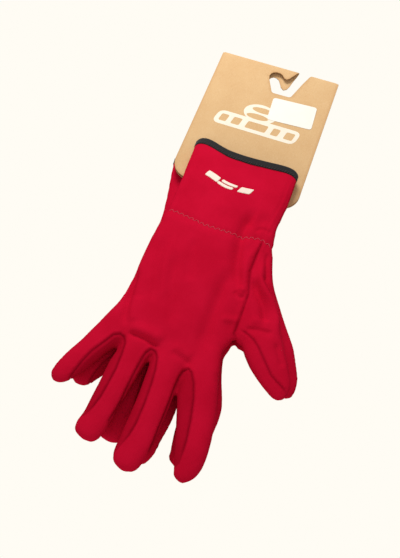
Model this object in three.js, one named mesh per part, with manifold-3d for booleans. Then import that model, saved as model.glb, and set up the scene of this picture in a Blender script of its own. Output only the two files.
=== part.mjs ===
// A pair of knitted riding gloves hung palm to palm on a folded header card, in millimetres.
// The card stands in the XZ plane with its fold at the top. The right glove hangs in front of
// it, towards -Y, with the back of the hand outwards, and the left glove hangs behind it.
// The origin is the top of the slot that a display peg carries the card by.
import * as THREE from 'three';
import Module from 'manifold-3d';

const wasm = await Module();
wasm.setup();

// Everything below is laid out with x from the card's middle and z down from its fold.
const GAP = 0.3;                 // clearance between neighbouring pieces
const FABRIC = 1.2;              // thickness of a knitted panel
const CARD = { width: 100, height: 127, board: 0.6, gap: 2.4, corner: 14 };
const PEG = { x: -1, z: -9 };    // top of the back panel's peg pocket
const SLOT = {                   // the peg slot's straight sides, down from its mouth in the fold
  mouth: { left: 16.3, right: 26.4 },
  sides: [[16, -27], [2, -27.6], [-5.6, -13.5]],
  corner: -7,                    // x that the pocket's rounded corner reaches out to
  tongue: { inner: 3.6, left: 5, tip: 8.6, right: 12 },
};
const FRONT_SLOT = { pocketTop: -5.3, tongueTip: -10.5 };
const BACK_SLOT = { pocketTop: PEG.z, tongueTip: -18 };
const LABEL = { x: 22.5, z: -42.5, width: 36, height: 21, corner: 2.5, tilt: 2.6, thick: 0.2 };
const PIN = { filament: 0.4, bar: 0.5, barLength: 8, hole: 0.9, inGlove: -5.1, inCard: -0.4 };
const CUT = 30;                  // how far a cutting shape reaches to each side of the card
const FOURCHETTE = 4;            // half the width of the strips along a finger's sides
const HEM = { thick: 0.8, tall: 4.5, overlap: 15 };
const ELASTIC = { thick: 0.8, top: -156, bottom: -162.5, left: -28, right: 34, y: -12.9 };
const CUFF_PRINT = {
  thick: 0.3,
  behind: -14.7,                 // y of its face on the cuff
  left: -21,
  right: 18,
  leftTop: -120.5,
  middleTop: -126.5,
  rightTop: -122.5,
  height: 8,
};

const outerFace = CARD.gap / 2 + CARD.board;

// A tube's stations, from one end to the other: the x and z of its left and right sides, then
// the depth of its middle plane behind the card's middle, and half its thickness.
const CUFF = {
  rows: 4,
  stations: [
    [-39, -96, 45, -99, -8.2, 5],
    [-37.6, -118, 44.8, -118, -8.2, 5],
    [-37.2, -145, 42.8, -145, -8.1, 5.8],
    [-37.6, -165, 44.5, -165, -8, 6.5],
  ],
};
const HAND = {
  rows: 7,
  stations: [
    [-37.6, -165.3, 44.5, -165.3, -8, 6.5],
    [-39.9, -188, 46, -188, -7.75, 7.25],
    [-40.5, -215, 44, -217, -7.75, 7.25],
    [-42, -236, 41.8, -238, -7.75, 7.25],
    [-46.5, -248, 41.4, -250, -7.75, 7.25],
    [-54, -268, 43.4, -272, -7.75, 7.25],
    [-57, -278, 44, -284, -7.75, 7.25],
  ],
};

// The line where the fingers join the hand, from the little finger to the index finger, and
// the line where the thumb joins it.
const FINGER_LINE = [[-48, -257], [-29.5, -267], [-7, -271], [16.4, -274], [43.5, -270.5]];
const THUMB_LINE = [[37, -165.6], [41, -238.6]];
const BEYOND = {                 // how far the space for the digits reaches past those lines
  left: -75,
  right: 70,
  bottom: -300,
  indexEnd: -268.5,
  thumbTop: [36.6, -160],
  thumbEnd: [41.6, -240.6],
};

// Each digit's stations after its base, and the point that its tip reaches.
const DIGITS = {
  pinky: {
    base: [FINGER_LINE[0], FINGER_LINE[1]],
    fourchettes: ['thumb_side'],
    rows: 7,
    stations: [
      [-52.3, -265, -34.2, -273.6, -7.9, 7],
      [-55.9, -273.5, -38.5, -280.5, -8, 6.8],
      [-59.6, -282.5, -43.3, -288, -8, 6.6],
      [-63.4, -292, -49.2, -296.8, -8, 6.2],
    ],
    tip: [-60.8, -305.8],
  },
  ring: {
    base: [FINGER_LINE[1], FINGER_LINE[2]],
    fourchettes: ['pinky_side', 'thumb_side'],
    rows: 7,
    stations: [
      [-31.9, -278, -11.4, -279, -7.9, 7],
      [-33, -292, -14.4, -295, -8, 6.8],
      [-34.2, -307, -15.4, -308, -8, 6.6],
      [-35.2, -321, -17, -321.5, -8, 6.2],
    ],
    tip: [-27, -332.6],
  },
  middle: {
    base: [FINGER_LINE[2], FINGER_LINE[3]],
    fourchettes: ['pinky_side', 'thumb_side'],
    rows: 7,
    stations: [
      [-6.6, -282, 13.7, -283, -7.9, 7],
      [-4.9, -298, 13.4, -299, -8, 6.8],
      [-5.1, -314, 13.6, -314, -8, 6.6],
      [-6, -329, 13.3, -329, -8, 6.2],
    ],
    tip: [4.2, -341.4],
  },
  index: {
    base: [FINGER_LINE[3], FINGER_LINE[4]],
    fourchettes: ['pinky_side'],
    rows: 7,
    stations: [
      [18.2, -285.4, 44.4, -283, -7.9, 7],
      [22.9, -299.3, 46.9, -295, -8, 6.8],
      [27.3, -312.8, 47.9, -309, -8, 6.6],
      [31.4, -325.5, 47.2, -323, -8, 6.2],
    ],
    tip: [39.8, -336.2],
  },
  thumb: {
    base: [THUMB_LINE[1], THUMB_LINE[0]],
    fourchettes: [],
    rows: 8,
    stations: [
      [45.5, -239.4, 47, -174, -7.75, 7.25],
      [50.8, -243.9, 54.2, -195, -7.75, 7.2],
      [57.2, -250, 62.5, -211, -7.8, 7],
      [63.8, -256.2, 70.3, -228, -7.9, 6.8],
      [74.3, -265.4, 82.6, -248.5, -8, 6.2],
    ],
    tip: [86.2, -261],
  },
};

// The left glove hangs turned about this point, and its digits lie a little differently:
// swung by an angle in degrees, and shortened where they curl.
const LEFT_TURN = { x: 0, z: -222, angle: 4.9, shift: [-1, -3] };
const LEFT_LIE = {
  pinky: { swing: 0, stretch: 0.76 },
  ring: { swing: 2, stretch: 0.85 },
  middle: { swing: -3, stretch: 0.88 },
  index: { swing: -13, stretch: 0.86 },
  thumb: { swing: 4, stretch: 1 },
};
const SWING_STATIONS = 2;        // a digit has its whole swing from this station on

// Where each glove's tag pin goes through, above the glove's centre of mass.
const PINS = { right: { x: 5.3, z: -108 }, left: { x: 14, z: -114 } };

const COLOURS = {
  red: 0xb80e2e,
  seam: 0xa00c28,
  black: 0x141214,
  kraft: 0xd2a878,
  white: 0xf4f2ea,
  ivory: 0xe6d6c0,
  clear: 0xe8e8e4,
};

const materials = {};
for (const [name, colour] of Object.entries(COLOURS)) {
  materials[name] = new THREE.MeshStandardMaterial({ color: colour, roughness: 0.85, metalness: 0 });
}

// ---- closed meshes from rows of points ----

// The index of a point in a growing list, so that points in one place are one vertex.
function welder() {
  const places = new Map();
  const points = [];
  const add = (point) => {
    const key = point.map((value) => value.toFixed(4)).join();
    if (!places.has(key)) {
      places.set(key, points.length);
      points.push(point);
    }
    return places.get(key);
  };
  return { points, add };
}

function signedVolume(points, triangles) {
  let total = 0;
  for (const triangle of triangles) {
    const [a, b, c] = triangle.map((index) => new THREE.Vector3(...points[index]));
    total += a.dot(b.cross(c)) / 6;
  }
  return total;
}

function geometryFrom(points, triangles) {
  const inward = signedVolume(points, triangles) < 0;
  const faces = inward ? triangles.map(([a, b, c]) => [a, c, b]) : triangles;
  const geometry = new THREE.BufferGeometry();
  geometry.setAttribute('position', new THREE.Float32BufferAttribute(points.flat(), 3));
  geometry.setIndex(faces.flat());
  return geometry;
}

// The solid between two surfaces given as matching rows of points.
function solidBetween(outer, inner) {
  const { points, add } = welder();
  const triangles = [];
  const quad = (a, b, c, d) => {
    const corners = [a, b, c, d].map(add);
    for (const triangle of [[corners[0], corners[1], corners[2]], [corners[0], corners[2], corners[3]]]) {
      if (new Set(triangle).size === 3) triangles.push(triangle);
    }
  };
  const lastRow = outer.length - 1;
  const lastColumn = outer[0].length - 1;
  for (let i = 0; i < lastRow; i += 1) {
    for (let j = 0; j < lastColumn; j += 1) {
      quad(outer[i][j], outer[i][j + 1], outer[i + 1][j + 1], outer[i + 1][j]);
      quad(inner[i][j], inner[i + 1][j], inner[i + 1][j + 1], inner[i][j + 1]);
    }
    quad(outer[i][0], outer[i + 1][0], inner[i + 1][0], inner[i][0]);
    quad(outer[i + 1][lastColumn], outer[i][lastColumn], inner[i][lastColumn], inner[i + 1][lastColumn]);
  }
  for (let j = 0; j < lastColumn; j += 1) {
    quad(outer[0][j + 1], outer[0][j], inner[0][j], inner[0][j + 1]);
    quad(outer[lastRow][j], outer[lastRow][j + 1], inner[lastRow][j + 1], inner[lastRow][j]);
  }
  return geometryFrom(points, triangles);
}

// ---- joining and cutting ----

function toSolid(geometry) {
  const plain = geometry.index ? geometry.toNonIndexed() : geometry;
  const position = plain.getAttribute('position');
  const { points, add } = welder();
  const corners = [];
  for (let i = 0; i < position.count; i += 1) {
    corners.push(add([position.getX(i), position.getY(i), position.getZ(i)]));
  }
  const triVerts = [];
  for (let i = 0; i < corners.length; i += 3) {
    const triangle = corners.slice(i, i + 3);
    if (new Set(triangle).size === 3) triVerts.push(...triangle);
  }
  return new wasm.Manifold(new wasm.Mesh({
    numProp: 3,
    vertProperties: new Float32Array(points.flat()),
    triVerts: new Uint32Array(triVerts),
  }));
}

function fromSolid(solid) {
  const { numProp, vertProperties, triVerts } = solid.getMesh();
  const points = [];
  for (let i = 0; i < vertProperties.length; i += numProp) {
    points.push([...vertProperties.slice(i, i + 3)]);
  }
  const triangles = [];
  for (let i = 0; i < triVerts.length; i += 3) triangles.push([...triVerts.slice(i, i + 3)]);
  return geometryFrom(points, triangles);
}

// A flat outline in x and z, given depth from one y to another.
function plate(shape, nearY, farY, curveSegments = 6) {
  const geometry = new THREE.ExtrudeGeometry(shape, {
    depth: farY - nearY,
    bevelEnabled: false,
    curveSegments,
  });
  return geometry.rotateX(Math.PI / 2).translate(0, farY, 0);
}

function outlineOf(points) {
  return new THREE.Shape(points.map(([x, z]) => new THREE.Vector2(x, z)));
}

// A round hole or rod along Y.
function rodAlongY(x, z, radius, nearY, farY) {
  const rod = new THREE.CylinderGeometry(radius, radius, farY - nearY, 8);
  return rod.translate(x, (nearY + farY) / 2, z);
}

// ---- flattened tubes ----

const degrees = (angle) => (angle * Math.PI) / 180;
const CORNER_ANGLES = [0, 30, 60, 90].map(degrees);
const TIP_ANGLES = [35, 65, 90].map(degrees);

function spread(values, t) {
  const place = t * (values.length - 1);
  const before = Math.min(Math.floor(place), values.length - 2);
  return THREE.MathUtils.lerp(values[before], values[before + 1], place - before);
}

// Cross-sections along a tube, drawn in from its outer surface by an inset.
function tubeSections(tube, inset) {
  const left = new THREE.SplineCurve(tube.stations.map((s) => new THREE.Vector2(s[0], s[1])));
  const right = new THREE.SplineCurve(tube.stations.map((s) => new THREE.Vector2(s[2], s[3])));
  const sections = [];
  for (let row = 0; row <= tube.rows; row += 1) {
    const t = row / tube.rows;
    const centre = left.getPoint(t).lerp(right.getPoint(t), 0.5);
    const across = right.getPoint(t).sub(centre);
    sections.push({
      centre,
      half: across.length() - inset,
      across: across.clone().normalize(),
      middle: spread(tube.stations.map((s) => s[4]), t),
      depth: spread(tube.stations.map((s) => s[5]), t) - inset,
      strip: tube.tip ? FOURCHETTE * Math.min(1, 1.9 * (1 - t) + 0.25) : 0,
    });
  }
  if (!tube.tip) return sections;
  const end = sections[sections.length - 1];
  const reach = new THREE.Vector2(...tube.tip).sub(end.centre);
  reach.setLength(reach.length() - inset);
  for (const angle of TIP_ANGLES) {
    const shrink = angle === TIP_ANGLES[TIP_ANGLES.length - 1] ? 0 : Math.cos(angle);
    sections.push({
      ...end,
      centre: end.centre.clone().addScaledVector(reach, Math.sin(angle)),
      half: end.half * shrink,
      depth: end.depth * shrink,
      strip: 0,
    });
  }
  return sections;
}

// A point on a section, on its left (-1) or right (+1) rounded side, at an angle up from the
// middle plane: 0 at the side, 90 degrees on the flat. Facing is -1 for the glove's back.
function sectionPoint(section, side, angle, facing, lift = GAP / 2) {
  const corner = Math.min(section.half, section.depth);
  const reach = side * (section.half - corner + corner * Math.cos(angle));
  const spot = section.centre.clone().addScaledVector(section.across, reach);
  return [spot.x, section.middle + facing * (section.depth * Math.sin(angle) + lift), spot.y];
}

// The angle at which a panel ends, where a fourchette takes over down the side.
function panelEdge(hasStrip, section) {
  return hasStrip && section.strip > 0 ? Math.asin(section.strip / section.depth) : 0;
}

// The back (-1) or palm (+1) half of a tube, which ends past its middle plane by an overrun.
function panelRows(tube, inset, facing, strips, overrun) {
  const outline = tubeSections(tube, 0);
  return tubeSections(tube, inset).map((section, row) => {
    const place = (side, name) => CORNER_ANGLES.map((angle) => {
      const from = panelEdge(strips.includes(name), outline[row]) - overrun;
      return sectionPoint(section, side, from + angle * (1 - from / (Math.PI / 2)), facing);
    });
    return [...place(-1, 'pinky_side'), ...place(1, 'thumb_side').reverse()];
  });
}

function panel(tube, facing, strips = [], outside = 0, thickness = FABRIC, overrun = 0) {
  return solidBetween(
    panelRows(tube, outside, facing, strips, overrun),
    panelRows(tube, outside + thickness, facing, strips, overrun),
  );
}

// The narrow strip along one side of a finger, between its back and its palm.
function fourchette(tube, name) {
  const side = name === 'thumb_side' ? 1 : -1;
  const outline = tubeSections(tube, 0).slice(0, tube.rows + 1);
  const rowsAt = (inset) => tubeSections(tube, inset).slice(0, tube.rows + 1).map((section, row) => {
    const edge = panelEdge(true, outline[row]);
    const clear = 1 - GAP / (section.depth * Math.sin(edge));
    return [-1, 0, 1].map((share) => {
      const [x, y, z] = sectionPoint(section, side, Math.abs(share) * edge, share, 0);
      return [x, section.middle + (y - section.middle) * clear, z];
    });
  });
  return solidBetween(rowsAt(0), rowsAt(FABRIC));
}

// ---- the glove ----

// A digit's tube, its base drawn a little off the line where it joins the hand.
function digitTube(digit) {
  const left = new THREE.Vector2(...digit.base[0]);
  const right = new THREE.Vector2(...digit.base[1]);
  const across = right.clone().sub(left).normalize().multiplyScalar(GAP);
  const away = new THREE.Vector2(across.y, -across.x);
  left.add(across).add(away);
  right.sub(across).add(away);
  const base = [left.x, left.y, right.x, right.y, HAND.stations[1][4], HAND.stations[1][5]];
  return { ...digit, stations: [base, ...digit.stations] };
}

// A digit swung in the glove's plane and shortened, by more the further from its base.
function relaid(tube, lie) {
  const [baseLeft, baseRight] = [tube.stations[0].slice(0, 2), tube.stations[0].slice(2, 4)];
  const root = new THREE.Vector2(...baseLeft).lerp(new THREE.Vector2(...baseRight), 0.5);
  const tip = new THREE.Vector2(...tube.tip);
  const axis = tip.clone().sub(root).normalize();
  const move = ([x, z], share) => {
    const point = new THREE.Vector2(x, z);
    const along = point.clone().sub(root).dot(axis);
    point.addScaledVector(axis, (lie.stretch - 1) * Math.max(0, along));
    point.rotateAround(root, degrees(lie.swing) * share);
    return [point.x, point.y];
  };
  const stations = tube.stations.map((station, i) => {
    if (i === 0) return station;
    const share = Math.min(1, i / SWING_STATIONS);
    const [left, right] = [move(station.slice(0, 2), share), move(station.slice(2, 4), share)];
    return [...left, ...right, station[4], station[5]];
  });
  return { ...tube, stations, tip: move(tube.tip, 1) };
}

// What the hand's panels lose to the digits: the space beyond the two joining lines.
function digitSpace() {
  const [first, second] = FINGER_LINE;
  const start = [first[0] + (first[0] - second[0]) / 2, first[1] + (first[1] - second[1]) / 2];
  const { left, right, bottom, indexEnd, thumbTop, thumbEnd } = BEYOND;
  const below = outlineOf([
    start,
    ...FINGER_LINE.slice(1),
    [right, indexEnd],
    [right, bottom],
    [left, bottom],
  ]);
  const beside = outlineOf([
    thumbTop,
    THUMB_LINE[1],
    thumbEnd,
    [right, thumbEnd[1]],
    [right, thumbTop[1]],
  ]);
  return toSolid(plate(below, -CUT, CUT)).add(toSolid(plate(beside, -CUT, CUT)));
}

function handPanel(facing, space) {
  return fromSolid(toSolid(panel(HAND, facing)).subtract(space));
}

// The band folded over the cuff's edge: a channel that the edge sits in.
function hemBinding(facing) {
  const [leftX, leftZ, rightX, rightZ] = CUFF.stations[0];
  const outside = GAP + HEM.thick;
  const grown = (by, overrun) => {
    const [top, ...rest] = CUFF.stations;
    const raised = [leftX, leftZ + by, rightX, rightZ + by, top[4], top[5]];
    const tube = { rows: CUFF.rows, stations: [raised, ...rest] };
    return toSolid(panel(tube, facing, [], -by, FABRIC + 2 * by, overrun));
  };
  const reach = outlineOf([
    [2 * leftX, leftZ - HEM.tall],
    [2 * rightX, rightZ - HEM.tall],
    [2 * rightX, 0],
    [2 * leftX, 0],
  ]);
  const band = grown(outside, 0).intersect(toSolid(plate(reach, -CUT, CUT)));
  return fromSolid(band.subtract(grown(GAP, degrees(HEM.overlap))));
}

// A flat elastic sewn inside the back of the wrist.
function wristElastic() {
  const { left, right, top, bottom, y, thick } = ELASTIC;
  return plate(outlineOf([[left, bottom], [right, bottom], [right, top], [left, top]]), y, y + thick);
}

// A printed film on the cuff's back, sagging with the fabric.
function cuffPrint() {
  const { left, right, leftTop, middleTop, rightTop, height, behind, thick } = CUFF_PRINT;
  const middle = (left + right) / 2;
  const shape = new THREE.Shape();
  shape.moveTo(left, leftTop);
  shape.quadraticCurveTo(middle, middleTop, right, rightTop);
  shape.lineTo(right, rightTop - height);
  shape.quadraticCurveTo(middle, middleTop - height, left, leftTop - height);
  return plate(shape, behind - thick, behind);
}

// A plastic tag pin: a filament with a bar inside the cuff and a bar inside the card.
function tagPin(pin) {
  const bar = (y) => {
    const rod = new THREE.CylinderGeometry(PIN.bar, PIN.bar, PIN.barLength, 8);
    return rod.rotateZ(Math.PI / 2).translate(pin.x, y, pin.z);
  };
  const filament = rodAlongY(pin.x, pin.z, PIN.filament, PIN.inGlove, PIN.inCard);
  return fromSolid(toSolid(bar(PIN.inGlove)).add(toSolid(bar(PIN.inCard))).add(toSolid(filament)));
}

function glove(side, lie, pin) {
  const group = new THREE.Group();
  const mirror = side === 'left' ? -1 : 1;
  const add = (name, geometry, material) => {
    const placed = mirror < 0 ? mirrored(geometry) : geometry;
    const mesh = new THREE.Mesh(placed, material);
    mesh.name = `${side}_${name}`;
    group.add(mesh);
  };
  const space = digitSpace();
  add('hand_back', handPanel(-1, space), materials.red);
  add('hand_palm', handPanel(1, space), materials.red);
  add('cuff_back', panel(CUFF, -1), materials.red);
  const hole = toSolid(rodAlongY(pin.x, pin.z, PIN.hole, -8, 0));
  add('cuff_palm', fromSolid(toSolid(panel(CUFF, 1)).subtract(hole)), materials.red);
  add('wrist_elastic', wristElastic(), materials.white);
  add('hem_binding_back', hemBinding(-1), materials.black);
  add('hem_binding_palm', hemBinding(1), materials.black);
  add('cuff_print', cuffPrint(), materials.ivory);
  add('tag_pin', tagPin(pin), materials.clear);
  for (const [name, digit] of Object.entries(DIGITS)) {
    const straight = digitTube(digit);
    const tube = lie ? relaid(straight, lie[name]) : straight;
    add(`${name}_back`, panel(tube, -1, digit.fourchettes), materials.red);
    add(`${name}_palm`, panel(tube, 1, digit.fourchettes), materials.red);
    for (const strip of digit.fourchettes) {
      add(`${name}_fourchette_${strip}`, fourchette(tube, strip), materials.seam);
    }
  }
  return group;
}

// The same shape for the other hand: mirrored front to back.
function mirrored(geometry) {
  const solid = toSolid(geometry);
  const { vertProperties, triVerts } = solid.getMesh();
  const points = [];
  for (let i = 0; i < vertProperties.length; i += 3) {
    points.push([vertProperties[i], -vertProperties[i + 1], vertProperties[i + 2]]);
  }
  const triangles = [];
  for (let i = 0; i < triVerts.length; i += 3) triangles.push([...triVerts.slice(i, i + 3)]);
  return geometryFrom(points, triangles);
}

// A point of the left glove where it hangs, turned and shifted with the glove.
function turned({ x, z }) {
  const point = new THREE.Vector2(x, z);
  point.rotateAround(new THREE.Vector2(LEFT_TURN.x, LEFT_TURN.z), degrees(LEFT_TURN.angle));
  return { x: point.x + LEFT_TURN.shift[0], z: point.y + LEFT_TURN.shift[1] };
}

// ---- the header card ----

// A panel's outline, with rounded lower corners and the peg slot open through its top edge.
// The tongue that keeps the peg in reaches down to its tip, beside the pocket's top.
function cardOutline(top, { pocketTop, tongueTip }) {
  const side = CARD.width / 2;
  const { corner, height } = CARD;
  const { mouth, sides, tongue } = SLOT;
  const shape = new THREE.Shape();
  shape.moveTo(-side, top);
  shape.lineTo(-side, corner - height);
  shape.quadraticCurveTo(-side, -height, corner - side, -height);
  shape.lineTo(side - corner, -height);
  shape.quadraticCurveTo(side, -height, side, corner - height);
  shape.lineTo(side, top);
  shape.lineTo(mouth.right, top);
  for (const [x, z] of sides) shape.lineTo(x, z);
  shape.quadraticCurveTo(SLOT.corner, pocketTop, PEG.x, pocketTop);
  shape.quadraticCurveTo(tongue.inner, pocketTop, tongue.left, tongueTip + 4);
  shape.quadraticCurveTo(tongue.tip, tongueTip - 3, tongue.right, tongueTip + 4.5);
  shape.lineTo(mouth.left, top);
  return shape;
}

function cardFront(holes) {
  const shape = cardOutline(-outerFace - GAP, FRONT_SLOT);
  for (const pin of holes) shape.holes.push(roundHole(pin));
  return plate(shape, -outerFace, -CARD.gap / 2);
}

// The back panel, with the folded edge that the front panel hangs from.
function cardBack(holes) {
  const shape = cardOutline(-outerFace, BACK_SLOT);
  for (const pin of holes) shape.holes.push(roundHole(pin));
  const whole = toSolid(plate(shape, CARD.gap / 2, outerFace));
  const leftEdge = foldedEdge(-CARD.width / 2, SLOT.mouth.left);
  const rightEdge = foldedEdge(SLOT.mouth.right, CARD.width / 2);
  return fromSolid(whole.add(leftEdge).add(rightEdge));
}

function roundHole({ x, z }) {
  return new THREE.Path().absarc(x, z, PIN.hole, 0, 2 * Math.PI, true);
}

// Half a ring along X, over the gap between the panels.
function foldedEdge(fromX, toX) {
  const shape = new THREE.Shape();
  shape.absarc(0, 0, outerFace, 0, Math.PI, false);
  shape.absarc(0, 0, CARD.gap / 2, Math.PI, 0, true);
  const ring = new THREE.ExtrudeGeometry(shape, {
    depth: toX - fromX,
    bevelEnabled: false,
    curveSegments: 6,
  });
  ring.rotateX(Math.PI / 2).rotateZ(Math.PI / 2);
  return toSolid(ring.translate(fromX, 0, -outerFace));
}

function priceLabel() {
  const { width, height, corner, thick } = LABEL;
  const [w, h] = [width / 2, height / 2];
  const shape = new THREE.Shape();
  shape.absarc(w - corner, h - corner, corner, 0, Math.PI / 2, false);
  shape.absarc(corner - w, h - corner, corner, Math.PI / 2, Math.PI, false);
  shape.absarc(corner - w, corner - h, corner, Math.PI, 1.5 * Math.PI, false);
  shape.absarc(w - corner, corner - h, corner, 1.5 * Math.PI, 2 * Math.PI, false);
  const near = -outerFace - GAP - thick;
  return plate(shape, near, near + thick, 3);
}

function cardGroup() {
  const group = new THREE.Group();
  const add = (name, geometry, material) => {
    const mesh = new THREE.Mesh(geometry, material);
    mesh.name = name;
    group.add(mesh);
    return mesh;
  };
  add('card_front_panel', cardFront([PINS.right]), materials.kraft);
  add('card_back_panel', cardBack([turned(PINS.left)]), materials.kraft);
  const label = add('price_label', priceLabel(), materials.white);
  label.position.set(LABEL.x, 0, LABEL.z);
  label.rotation.y = -degrees(LABEL.tilt);
  return group;
}

// ---- the whole ----

const rightGlove = glove('right', null, PINS.right);

const leftGlove = new THREE.Group();
const leftShapes = glove('left', LEFT_LIE, PINS.left);
leftShapes.position.set(-LEFT_TURN.x, 0, -LEFT_TURN.z);
leftGlove.add(leftShapes);
leftGlove.rotation.y = -degrees(LEFT_TURN.angle);
leftGlove.position.set(LEFT_TURN.x + LEFT_TURN.shift[0], 0, LEFT_TURN.z + LEFT_TURN.shift[1]);

const group = new THREE.Group();
group.add(rightGlove, leftGlove, cardGroup());
group.position.set(-PEG.x, 0, -PEG.z);

export default group;
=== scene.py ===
"""The looks of a pair of knitted riding gloves on a folded header card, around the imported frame.

Everything is laid out in millimetres in the card's own frame, x from the card's middle, y from
the gap between its panels and z from its fold, and is moved into the row frame when it is made.
"""

import math

import bpy
import numpy as np
from mathutils import Matrix, Vector
from mathutils.bvhtree import BVHTree
from mathutils.geometry import delaunay_2d_cdt


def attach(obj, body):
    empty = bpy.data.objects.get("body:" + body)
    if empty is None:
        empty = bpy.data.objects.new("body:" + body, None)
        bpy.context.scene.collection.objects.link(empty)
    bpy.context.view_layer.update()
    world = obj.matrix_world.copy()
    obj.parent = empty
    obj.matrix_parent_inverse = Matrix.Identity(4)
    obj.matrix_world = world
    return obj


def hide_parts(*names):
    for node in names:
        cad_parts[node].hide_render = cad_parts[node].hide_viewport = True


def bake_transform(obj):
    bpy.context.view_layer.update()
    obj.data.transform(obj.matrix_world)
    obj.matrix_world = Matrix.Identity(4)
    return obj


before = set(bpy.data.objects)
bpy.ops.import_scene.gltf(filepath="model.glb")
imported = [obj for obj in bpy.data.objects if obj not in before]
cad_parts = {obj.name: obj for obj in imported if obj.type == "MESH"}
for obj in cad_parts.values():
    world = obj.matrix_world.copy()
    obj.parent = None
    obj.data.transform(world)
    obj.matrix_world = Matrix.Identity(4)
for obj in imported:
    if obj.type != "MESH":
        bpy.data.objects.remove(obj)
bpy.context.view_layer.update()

MM = 0.001
CARD_ORIGIN = np.array([1.0, 0.0, 9.0])  # the card's fold in the row frame
CLOTH = 0.9  # thickness of the knitted cloth
VOXEL = 1.1  # the grid that a glove's tubes are joined on
MID_PLANE = -8.0  # the y of the seam between a glove's back and its palm
DIGIT_MIDDLE = -7.9
FLOOR_GLOW = 0.3  # a little light of its own keeps the floor pale
FOLD_STRENGTH = 1.9  # every fold on the back of the hand is this much higher than its table says
AMBIENT = 0.27  # the studio's even light

# ---- the glove's shape ----
# Stations of a flattened tube: left x, left z, right x, right z, the middle's y, half its depth.
HAND = [
    (-38.6, -88, 44.6, -90, -8.2, 4.6),
    (-38.6, -101, 44.8, -104, -8.2, 4.9),
    (-37.8, -118, 44.9, -118, -8.2, 5.0),
    (-37.3, -134, 43.9, -135, -8.2, 5.2),
    (-37.2, -150, 42.7, -150, -8.1, 5.8),
    (-37.6, -164, 44.2, -162, -8.0, 6.2),
    (-38.4, -172, 45.0, -172, -8.0, 6.6),
    (-39.9, -188, 44.0, -188, -7.8, 6.9),
    (-40.4, -205, 42.4, -205, -7.8, 7.0),
    (-40.7, -222, 41.4, -222, -7.8, 7.0),
    (-42.6, -238, 39.6, -239, -7.8, 6.8),
    (-46.3, -249, 36.0, -250, -7.8, 6.4),
    (-49.6, -258, 37.4, -259, -7.8, 5.6),
    (-51.6, -264, 38.8, -266, -7.8, 4.4),
    (-52.2, -266, 39.2, -268, -7.8, 2.0),
]
# Stations of each digit: its two sides (x, z), then its tip. They start inside the hand.
DIGITS = {
    "pinky": {
        "half": 6.7,
        "sides": [
            (-41, -236, -21, -248),
            (-45, -247, -25, -258.5),
            (-48.4, -256.5, -28.8, -266.4),
            (-52.3, -265, -33.6, -272.4),
            (-55.7, -273.8, -37.6, -279),
            (-59.7, -282.5, -41.8, -286.3),
            (-63, -291, -46, -293.2),
            (-65, -298.2, -50.4, -299.6),
            (-64, -303, -54.4, -303.8),
        ],
        "tip": (-60, -305.7),
    },
    "ring": {
        "half": 6.9,
        "sides": [
            (-27.4, -243, -8, -245),
            (-28.6, -257, -7.8, -259),
            (-29.8, -268, -8, -269.6),
            (-31.9, -277.5, -9.6, -278),
            (-32.7, -286.5, -10.8, -287),
            (-33, -296.5, -12.6, -297),
            (-33.4, -306.5, -14.2, -306.7),
            (-34, -316.5, -15.2, -317.2),
            (-35.8, -323.6, -16.8, -325.2),
            (-34.4, -329.4, -20.4, -331.6),
        ],
        "tip": (-27, -333),
    },
    "middle": {
        "half": 7.0,
        "sides": [
            (-7, -249, 15.6, -251),
            (-6.4, -262, 16.4, -265),
            (-6.6, -271.5, 15.4, -277),
            (-6.2, -280, 15.8, -284),
            (-5.6, -291, 16, -292.5),
            (-5.7, -302.5, 16, -303.5),
            (-6.2, -314, 15.4, -315),
            (-6.4, -323.5, 14.6, -325.2),
            (-7, -331.6, 12.8, -333.6),
            (-4.8, -338.3, 10, -339.2),
        ],
        "tip": (3, -341.8),
    },
    "index": {
        "half": 6.9,
        "sides": [
            (16.8, -250, 36, -248),
            (16.6, -265, 38.6, -262.5),
            (17, -278, 42.8, -278.2),
            (18.2, -286.4, 45.2, -287.6),
            (22.4, -300.3, 47.6, -298.6),
            (25.6, -310.8, 49, -308.8),
            (28.7, -320.4, 49.4, -317.8),
            (31.4, -327.6, 48.4, -325.6),
            (33.2, -333.4, 45.4, -331.8),
        ],
        "tip": (39.6, -336.5),
    },
    "thumb": {
        "half": 6.8,
        "sides": [
            (34, -222, 39, -160),
            (38.5, -233, 45.4, -170),
            (42.4, -239.8, 50.4, -184.4),
            (46.2, -240.6, 54.6, -195),
            (50.2, -246.2, 60.4, -206.6),
            (55.8, -252.8, 67.2, -220.6),
            (62.2, -258.6, 73.8, -233),
            (69, -263.5, 80.4, -244.8),
            (74, -266.5, 84.5, -252.8),
            (78.4, -267.9, 85.6, -258.8),
        ],
        "tip": (83.4, -266.4),
    },
}

# ---- the glove's seams, as lines of (x, z) ----
HEM = [(-60, -103.4), (-41, -102.2), (-38.3, -99.8), (-37, -97.2), (-35, -96), (-30.1, -95.7),
       (-24.7, -97), (-18.3, -99.2), (-10.2, -101.2), (-0.2, -101.8), (9.4, -101.5), (18.8, -100.8),
       (28.1, -99.8), (35.3, -99.4), (40.2, -99.8), (43.5, -101.2), (45.2, -104), (60, -109)]
WRIST = [(-60, -160.6), (-33.3, -162.4), (-21.6, -164.3), (-6.6, -166.7), (8.9, -166.7),
         (23.2, -165.8), (34.4, -163.4), (42.9, -165.6), (70, -168)]
FINGERS_START = [(-80, -245), (-51.6, -258.7), (-30, -269), (-8.3, -271), (-8.3, -278.4),
                 (16.5, -279), (90, -279)]
THUMB_SEAM = [(36.4, -164), (35.6, -175.5), (35.1, -189.5), (36.7, -197), (39.3, -206),
              (39.2, -212.4), (39.2, -221.5), (39.3, -228.2), (39.2, -235.1), (42.6, -240.3)]
THUMB_INNER_SEAM = [(43, -231.6), (48.2, -233.4), (53.1, -236), (57, -239.4), (61.4, -244),
                    (66.5, -249.4), (71, -254.2), (75.4, -256.6), (80.6, -259), (84.4, -261.4)]
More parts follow.
